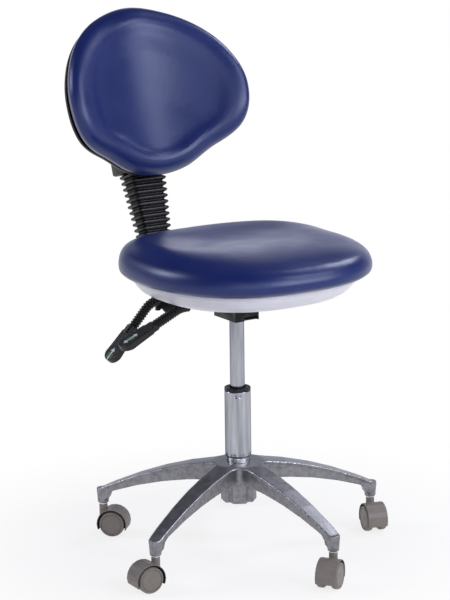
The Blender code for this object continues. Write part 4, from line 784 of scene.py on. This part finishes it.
def swept(name, points, tree, values):
    """The mesh that a node tree makes along a line of points, with its named inputs set."""
    curve = bpy.data.curves.new(name, "CURVE")
    curve.dimensions = "3D"
    line = curve.splines.new("POLY")
    line.points.add(len(points) - 1)
    for point, at in zip(line.points, points):
        point.co = (*at, 1.0)
    made = bpy.data.objects.new(name, curve)
    step = made.modifiers.new("ribs", "NODES")
    step.node_group = tree
    for item in tree.interface.items_tree:
        if item.in_out == "INPUT" and item.name in values:
            step[item.identifier] = values[item.name]
    scene.collection.objects.link(made)
    return baked(made)


def round_section(tree):
    """Outline of a sleeve."""
    circle = {"Resolution": 32, "Radius": SLEEVE_RADIUS}
    return add(tree, "GeometryNodeCurvePrimitiveCircle", circle).outputs["Curve"]


def lever_line(y, bend_at, droop, first, last):
    """Points of a lever's rod: level from the box, bent down, then straight.
    Distances are from the column and droop is in degrees."""
    droop = math.radians(droop)
    run = LEVER_BEND_RADIUS * math.tan(droop / 2)
    points = [(first, 0.0)]
    for i in range(13):
        turn = droop * i / 12
        out = bend_at - run + LEVER_BEND_RADIUS * math.sin(turn)
        points.append((out, LEVER_BEND_RADIUS * (math.cos(turn) - 1)))
    out, down = points[-1]
    points.append((last, down - (last - out) * math.tan(droop)))
    return [Vector((column.x - a, column.y + y, LEVER_LEVEL + b)) for a, b in points]


def arrow(far, across):
    """True on an arrow with a head at both ends, so far along and across from its middle."""
    return across < ARROW_SHAFT if far < ARROW_NECK else across < ARROW_SLOPE * (ARROW_TIP - far)


def bars(far, across):
    """True on the two short bars beside the arrow."""
    return BAR_SIDES[0] < across < BAR_SIDES[1] and far < BAR_REACH


def printed(mesh, attribute, mark, middle, along, up):
    """Paints a mark about a point of a paddle, on the faces that look up."""

    def amount(vertex):
        at = vertex.co - middle
        return float(vertex.normal.dot(up) > PRINT_FACING and mark(abs(at.dot(along)), abs(at.y)))

    painted(mesh, attribute, amount)


paddle_plastic = finish(
    "paddle_plastic",
    (0.010, 0.010, 0.011),
    (0.018, 0.018, 0.020),
    rough=(0.34, 0.46),
    bump=(1600.0, 0.00005),
    scale=25.0,
    specular=0.34,
)
tinted(paddle_plastic, "white_print", (0.72, 0.76, 0.78))
tinted(paddle_plastic, "green_print", (0.06, 0.30, 0.05))
sleeve_ribs = ribbed("sleeve_ribs", rubber, round_section)
for name, y, bend_at, droop, first, last in (
    ("lift_lever", 0.0, 0.1235, 24.4, 0.1050, 0.1830),
    ("tilt_lever", 0.0800, 0.1375, 47.0, 0.1120, 0.1920),
):
    line = lever_line(y, bend_at, droop, first, last)
    length = sum((b - a).length for a, b in zip(line, line[1:]))
    ribs = round(length / SLEEVE_RIB_PITCH)
    values = {"Ribs": ribs, "Depth": SLEEVE_RIB_DEPTH / SLEEVE_RADIUS, "Start Size": 1.0}
    sleeve = piece(name + "_ribs", swept(name + "_ribs", line, sleeve_ribs, values), rubber)
    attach(sleeve, name)
    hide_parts(name + "_sleeve")
    mesh = merged(name + "_paddle")
    middle = Vector((0.0, line[-1].y, 0.0))
    wider = Matrix.Diagonal((1.0, PADDLE_WIDER, 1.0, 1.0))
    mesh.transform(Matrix.Translation(middle) @ wider @ Matrix.Translation(-middle))
    mesh = skinned(mesh, PADDLE_VOXEL, PADDLE_EASING, PADDLE_KEEP)
    along = (line[-1] - line[-2]).normalized()
    up = along.cross(Vector((0.0, 1.0, 0.0)))
    up *= math.copysign(1.0, up.z)
    print_at = line[-1] + along * PRINT_FROM_SLEEVE
    printed(mesh, "white_print", arrow, print_at, along, up)
    printed(mesh, "green_print", bars, print_at, along, up)
    grip = piece(name + "_grip", mesh, paddle_plastic)
    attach(grip, name)
    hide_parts(name + "_paddle")

# Seat pan
# White moulded pan with a rolled rim, screwed to the mechanism under a plywood board.
# A loft of the seat's rounded plan between the pan's flat bottom and its rim.
SEAT_HALF_WIDTH = 0.2250
SEAT_FRONT = 0.2450
SEAT_BACK = 0.1780
SEAT_CENTRE_Y = -0.0100
SEAT_SQUARENESS = 2.5
SEAT_FRONT_POWER = 1.2
SEAT_POINTS = 180
LOFT_CORNER = 0.012
POLE = 0.001
abs_white = finish(
    "white_abs",
    (0.78, 0.77, 0.80),
    (0.83, 0.82, 0.845),
    rough=(0.26, 0.38),
    bump=(1400.0, 0.00003),
    scale=12.0,
)
plywood = finish(
    "plywood",
    (0.42, 0.29, 0.16),
    (0.56, 0.41, 0.25),
    rough=(0.55, 0.75),
    bump=(300.0, 0.00010),
    scale=6.0,
    stretch=(2.0, 30.0, 30.0),
)


def seat_ring(share, height, pocket=0.0):
    """Points of the seat's plan at a share of its size and a height. Both may be functions of how far
    a point is to the front, from 0 to 1. The middle of the inner rings moves back by pocket."""
    ring = []
    for i in range(SEAT_POINTS):
        turn = 2 * math.pi * i / SEAT_POINTS
        power = 2 / SEAT_SQUARENESS
        x = math.copysign(abs(math.cos(turn)) ** power, math.cos(turn))
        y = math.copysign(abs(math.sin(turn)) ** power, math.sin(turn))
        depth = SEAT_FRONT if y < 0 else SEAT_BACK
        front = ((1 - math.sin(turn)) / 2) ** SEAT_FRONT_POWER
        s = share(front) if callable(share) else share
        z = height(front) if callable(height) else height
        middle = column.y + SEAT_CENTRE_Y + pocket * (1 - s) ** 2
        ring.append((column.x + s * SEAT_HALF_WIDTH * x, middle + s * depth * y, z))
    return ring


pan_profile = [
    (0.0, 0.5040),
    (0.69, 0.5040),
    (0.755, 0.5072),
    (0.82, 0.5160),
    (0.866, 0.5285),
    (0.880, 0.5340),
    (0.8915, 0.5352),
    (0.8930, 0.5412),
    (0.8780, 0.5414),
    (0.8600, 0.5320),
    (0.805, 0.5175),
    (0.72, 0.5082),
    (0.0, 0.5070),
]
rings = []
for share, height in rounded(pan_profile, LOFT_CORNER):
    middle = [(column.x, column.y + SEAT_CENTRE_Y, height)]
    rings.append(seat_ring(share, height) if share > POLE else middle)
pan = piece("seat_tray", loft("seat_tray", rings), abs_white)
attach(pan, "seat")
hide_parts("seat_pan")
nodes["seat_board"].material_slots[0].material = plywood
nodes["backrest_board"].material_slots[0].material = plywood

# Seat cushion
# Foam seat in glossy navy leather, dished, with a broad waterfall front and full sides.
# A loft of the plan, swelled by a pressure simulation and held to the space of its solid.
CLOTH_FRAMES = 20
SWELL_VOXEL = 0.0050
SWELL_PRESSURE = 4.0
SWELL_EASING = 40
SWELL_NEAR = 6
SWELL_BLUR = 0.001
SEAT_SWELL = 0.003
SEAT_LOW = 0.5420
SEAT_POCKET = 0.0400
SEAT_MIDDLE = 0.0520
HELD_EDGE = 0.004
SECTION_STEPS = 5


def leather():
    """Navy leather: a fine pebble grain over a smooth coat with soft wear in its gloss."""
    material = finish(
        "navy_leather",
        (0.0078, 0.0180, 0.114),
        (0.0098, 0.0218, 0.132),
        rough=(0.29, 0.38),
        bump=(700.0, 0.00002),
        scale=14.0,
        specular=0.58,
    )
    tree = material.node_tree
    shader = tree.nodes["Principled BSDF"]
    place = add(tree, "ShaderNodeTexCoord").outputs["Object"]
    pebbles = add(tree, "ShaderNodeTexVoronoi", {"Vector": place, "Scale": 340.0}, feature="F1")
    coarse = add(tree, "ShaderNodeTexNoise", {"Vector": place, "Scale": 90.0, "Detail": 3.0})
    grain = {"Strength": 0.40, "Distance": 0.00016, "Height": pebbles.outputs["Distance"]}
    grain = add(tree, "ShaderNodeBump", grain).outputs["Normal"]
    waves = {"Strength": 0.36, "Distance": 0.0006, "Height": coarse.outputs["Fac"], "Normal": grain}
    tree.links.new(add(tree, "ShaderNodeBump", waves).outputs["Normal"], shader.inputs["Normal"])
    shader.inputs["Specular Tint"].default_value = (0.75, 0.82, 1.0, 1.0)
    return material


def swelled(mesh, cap, held):
    """Blows up a pad by a cloth simulation of an even skin over it, which the pad's own points then follow.
    held(point) is true where it is fixed. No point moves further than cap from where it began."""
    start = skinned(mesh, SWELL_VOXEL, 2)
    pad = bpy.data.objects.new("pad", start)
    scene.collection.objects.link(pad)
    group = pad.vertex_groups.new(name="held")
    group.add([v.index for v in start.vertices if held(v.co)], 1.0, "REPLACE")
    cloth = pad.modifiers.new("cloth", "CLOTH")
    cloth.settings.quality = 6
    cloth.settings.mass = 0.3
    cloth.settings.tension_stiffness = 25.0
    cloth.settings.compression_stiffness = 25.0
    cloth.settings.bending_stiffness = 4.0
    cloth.settings.use_pressure = True
    cloth.settings.uniform_pressure_force = SWELL_PRESSURE
    cloth.settings.vertex_group_mass = "held"
    cloth.settings.effector_weights.gravity = 0.0
    cloth.collision_settings.use_collision = False
    rest = [v.co.copy() for v in start.vertices]
    for number in range(1, CLOTH_FRAMES + 1):
        scene.frame_set(number)
    swollen = baked(pad)
    scene.frame_set(1)
    moves = [vertex.co - at for vertex, at in zip(swollen.vertices, rest)]
    moves = [move * min(1.0, cap / max(move.length, 0.000001)) for move in moves]
    beside = [[] for _ in moves]
    for edge in swollen.edges:
        first, second = edge.vertices
        beside[first].append(second)
        beside[second].append(first)
    for _ in range(SWELL_EASING):
        pulls = [sum((moves[k] for k in near), Vector()) for near in beside]
        moves = [(move + pull) / (len(near) + 1) for move, pull, near in zip(moves, pulls, beside)]
    tree = KDTree(len(rest))
    for i, at in enumerate(rest):
        tree.insert(at, i)
    tree.balance()
    for vertex in mesh.vertices:
        near = [(moves[i], 1 / (gap + SWELL_BLUR)) for _, i, gap in tree.find_n(vertex.co, SWELL_NEAR)]
        total = sum(weight for _, weight in near)
        vertex.co += sum((move * weight for move, weight in near), Vector()) / total
    bpy.data.meshes.remove(swollen)
    return mesh


def fitted(mesh, node):
    """Brings a mesh to the box of the solid that it stands for."""
    low, high = (Vector(corner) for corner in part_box(node))
    least = Vector(min(v.co[k] for v in mesh.vertices) for k in range(3))
    most = Vector(max(v.co[k] for v in mesh.vertices) for k in range(3))
    scale = Vector((high[k] - low[k]) / (most[k] - least[k]) for k in range(3))
    for vertex in mesh.vertices:
        vertex.co = Vector(low[k] + (vertex.co[k] - least[k]) * scale[k] for k in range(3))
    return mesh


def between(back, front):
    """A function that goes from one value at the back to another at the front."""
    return lambda share: back + (front - back) * share


def spline_point(before, first, second, after, t):
    """A point from first to second, at t from 0 to 1, on the smooth line through four."""
    bend = 2 * before - 5 * first + 4 * second - after + t * (3 * (first - second) + after - before)
    return first + 0.5 * t * (second - before + t * bend)


def curved(points):
    """A smooth line through points, in even steps from each to the next."""
    points = [Vector(point) for point in points]
    ends = [2 * points[0] - points[1], *points, 2 * points[-1] - points[-2]]
    line = []
    for four in zip(ends, ends[1:], ends[2:], ends[3:]):
        line += [spline_point(*four, i / SECTION_STEPS) for i in range(SECTION_STEPS)]
    return line + [points[-1]]


# Share of the plan and height above the cushion's base, at the back and at the front
seat_section = (
    ((0.955, 0.0030), (0.955, 0.0030)),
    ((0.988, 0.0100), (0.990, 0.0095)),
    ((1.000, 0.0210), (1.000, 0.0195)),
    ((0.998, 0.0340), (0.990, 0.0300)),
    ((0.988, 0.0440), (0.968, 0.0390)),
    ((0.970, 0.0520), (0.930, 0.0465)),
    ((0.950, 0.0565), (0.875, 0.0512)),
    ((0.932, 0.0590), (0.800, 0.0550)),
    ((0.915, 0.0603), (0.710, 0.0580)),
    ((0.900, 0.0610), (0.610, 0.0602)),
    ((0.885, 0.0612), (0.510, 0.0612)),
    ((0.865, 0.0611), (0.420, 0.0610)),
    ((0.820, 0.0604), (0.350, 0.0600)),
    ((0.740, 0.0588), (0.290, 0.0586)),
    ((0.600, 0.0563), (0.220, 0.0566)),
    ((0.420, 0.0540), (0.150, 0.0548)),
    ((0.220, 0.0525), (0.080, 0.0531)),
    ((0.010, 0.0520), (0.010, 0.0520)),
)
rings = [[(column.x, column.y + SEAT_CENTRE_Y, SEAT_LOW)], seat_ring(0.90, SEAT_LOW)]
seat_line = curved([(*back, *front) for back, front in seat_section])
for back_share, back_up, front_share, front_up in seat_line:
    heights = between(SEAT_LOW + back_up, SEAT_LOW + front_up)
    rings.append(seat_ring(between(back_share, front_share), heights, SEAT_POCKET))
rings.append([(column.x, column.y + SEAT_CENTRE_Y + SEAT_POCKET, SEAT_LOW + SEAT_MIDDLE)])
navy = leather()
mesh = swelled(loft("seat_pad", rings), SEAT_SWELL, lambda point: point.z < SEAT_LOW + HELD_EDGE)
seat_pad = piece("seat_pad", fitted(mesh, "seat_cushion"), navy)
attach(seat_pad, "seat")
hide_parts("seat_cushion")

# Upright cover
# Ribbed black rubber bellows round the upright, which on the stool stretches as the backrest slides; here it
# is swept once at rest.
# A rounded box section swept up the upright's line in ribs.
BACK_LEAN = math.radians(18.5)
UPRIGHT = Vector((0.0, 0.3077, 0.6212))
BELLOWS_RIBS = 12
BELLOWS_FROM = -0.0780
BELLOWS_TO = 0.0660
BELLOWS_SET_BACK = 0.0105
BELLOWS_WIDTH = 0.0840
BELLOWS_DEPTH = 0.0540
BELLOWS_CORNER = 0.0090
BELLOWS_RIB_DEPTH = 0.17
BELLOWS_START = 0.74
back = Matrix.Translation(UPRIGHT + foot) @ Matrix.Rotation(-BACK_LEAN, 4, "X")


def box_section(tree):
    """Outline of the bellows."""
    box = {"Width": BELLOWS_WIDTH, "Height": BELLOWS_DEPTH}
    box = add(tree, "GeometryNodeCurvePrimitiveQuadrilateral", box).outputs["Curve"]
    corners = {"Curve": box, "Count": 8, "Radius": BELLOWS_CORNER}
    return add(tree, "GeometryNodeFilletCurve", corners, mode="POLY").outputs["Curve"]


bellows_ribs = ribbed("bellows_ribs", rubber, box_section)
ends = [back @ Vector((0.0, BELLOWS_SET_BACK, z)) for z in (BELLOWS_FROM, BELLOWS_TO)]
values = {"Ribs": BELLOWS_RIBS, "Depth": BELLOWS_RIB_DEPTH, "Start Size": BELLOWS_START}
bellows = piece("upright_ribs", swept("upright_ribs", ends, bellows_ribs, values), rubber)
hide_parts("upright_bellows")
tuple(ends[0])
tuple(ends[1])
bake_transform(bellows)

# Backrest shell and slider
# Black moulded shell behind the pad and the box that rides on the upright.
# The shell is a loft of the pad's outline, the box a bevelled copy of its solid.
PAD_RADII = (0.154, 0.156, 0.162, 0.195, 0.199, 0.192, 0.185, 0.181, 0.182)
PAD_CENTRE = 0.2005
PAD_POINTS = 160
PAD_WRAP = 1.60
PAD_THINNING = 0.14
SHELL_FLAT = (0.0, 0.12, 0.24, 0.36, 0.48, 0.60, 0.72, 0.86)
SHELL_BACK = 0.0179
SHELL_INSIDE = 0.0214


def pad_radius(turn):
    """Outline radius at an angle from straight down, on a smooth line through the given radii."""
    step = math.pi / (len(PAD_RADII) - 1)
    at = min(abs(turn), math.pi) / step
    i = min(int(at), len(PAD_RADII) - 2)
    last = len(PAD_RADII) - 1
    before = PAD_RADII[abs(i - 1)]
    after = PAD_RADII[last - abs(last - (i + 2))]
    return spline_point(before, PAD_RADII[i], PAD_RADII[i + 1], after, at - i)


def pad_ring(share, forward, thin=0.0):
    """Points of the backrest's outline at a share of its size, wrapped forward towards its sides.
    From thin forward, the pad gets thinner towards its top."""
    if share < POLE:
        return [back @ Vector((0.0, -forward, PAD_CENTRE))]
    ring = []
    for i in range(PAD_POINTS):
        turn = 2 * math.pi * i / PAD_POINTS
        turn = turn if turn <= math.pi else turn - 2 * math.pi
        radius = share * pad_radius(turn)
        x = radius * math.sin(turn)
        fade = PAD_THINNING * max(0.0, share - 0.5) * (1 - math.cos(turn)) if thin else 0.0
        y = thin + (forward - thin) * (1 - fade) + PAD_WRAP * x * x
        ring.append(back @ Vector((x, -y, PAD_CENTRE - radius * math.cos(turn))))
    return ring


shell_profile = [(share, SHELL_BACK) for share in SHELL_FLAT]
shell_profile += [(0.945, 0.0205), (0.965, 0.0250), (0.965, 0.0317), (0.945, 0.0317), (0.935, 0.0222)]
shell_profile += [(share, SHELL_INSIDE) for share in reversed(SHELL_FLAT)]
rings = [pad_ring(share, forward) for share, forward in rounded(shell_profile, LOFT_CORNER)]
shell = piece("backrest_cover", loft("backrest_cover", rings), black_plastic)
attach(shell, "backrest")
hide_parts("backrest_shell")
box = piece("back_slider_box", eased("back_slider", 0.0006), black_plastic)
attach(box, "backrest")
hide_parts("back_slider")

# Backrest pad
# Foam pad in the seat's navy leather, wider above its waist and dished in the middle.
# A loft of its outline, swelled and held as the seat is.
PAD_BACK = 0.0320
PAD_DEPTH = 0.0500
PAD_SWELL = 0.004
# Share of the outline and part of the pad's depth, from the back edge round to the front
pad_section = (
    (0.860, 0.0),
    (0.965, 0.10),
    (1.000, 0.40),
    (0.991, 0.59),
    (0.970, 0.75),
    (0.940, 0.87),
    (0.900, 0.95),
    (0.860, 0.99),
    (0.825, 1.00),
    (0.790, 0.99),
    (0.755, 0.96),
    (0.720, 0.92),
    (0.680, 0.88),
    (0.620, 0.845),
    (0.510, 0.81),
    (0.370, 0.78),
    (0.200, 0.755),
    (0.0, 0.745),
)
rings = [pad_ring(0.0, PAD_BACK)]
rings += [pad_ring(share, PAD_BACK + PAD_DEPTH * part, PAD_BACK) for share, part in curved(pad_section)]
inverse = back.inverted()


def at_back(point):
    """True near the pad's back edge, where the shell holds it."""
    local = inverse @ point
    return -local.y - PAD_WRAP * local.x**2 < PAD_BACK + HELD_EDGE


mesh = swelled(loft("back_pad", rings), PAD_SWELL, at_back)
back_pad = piece("back_pad", fitted(mesh, "backrest_pad"), navy)
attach(back_pad, "backrest")
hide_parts("backrest_pad")
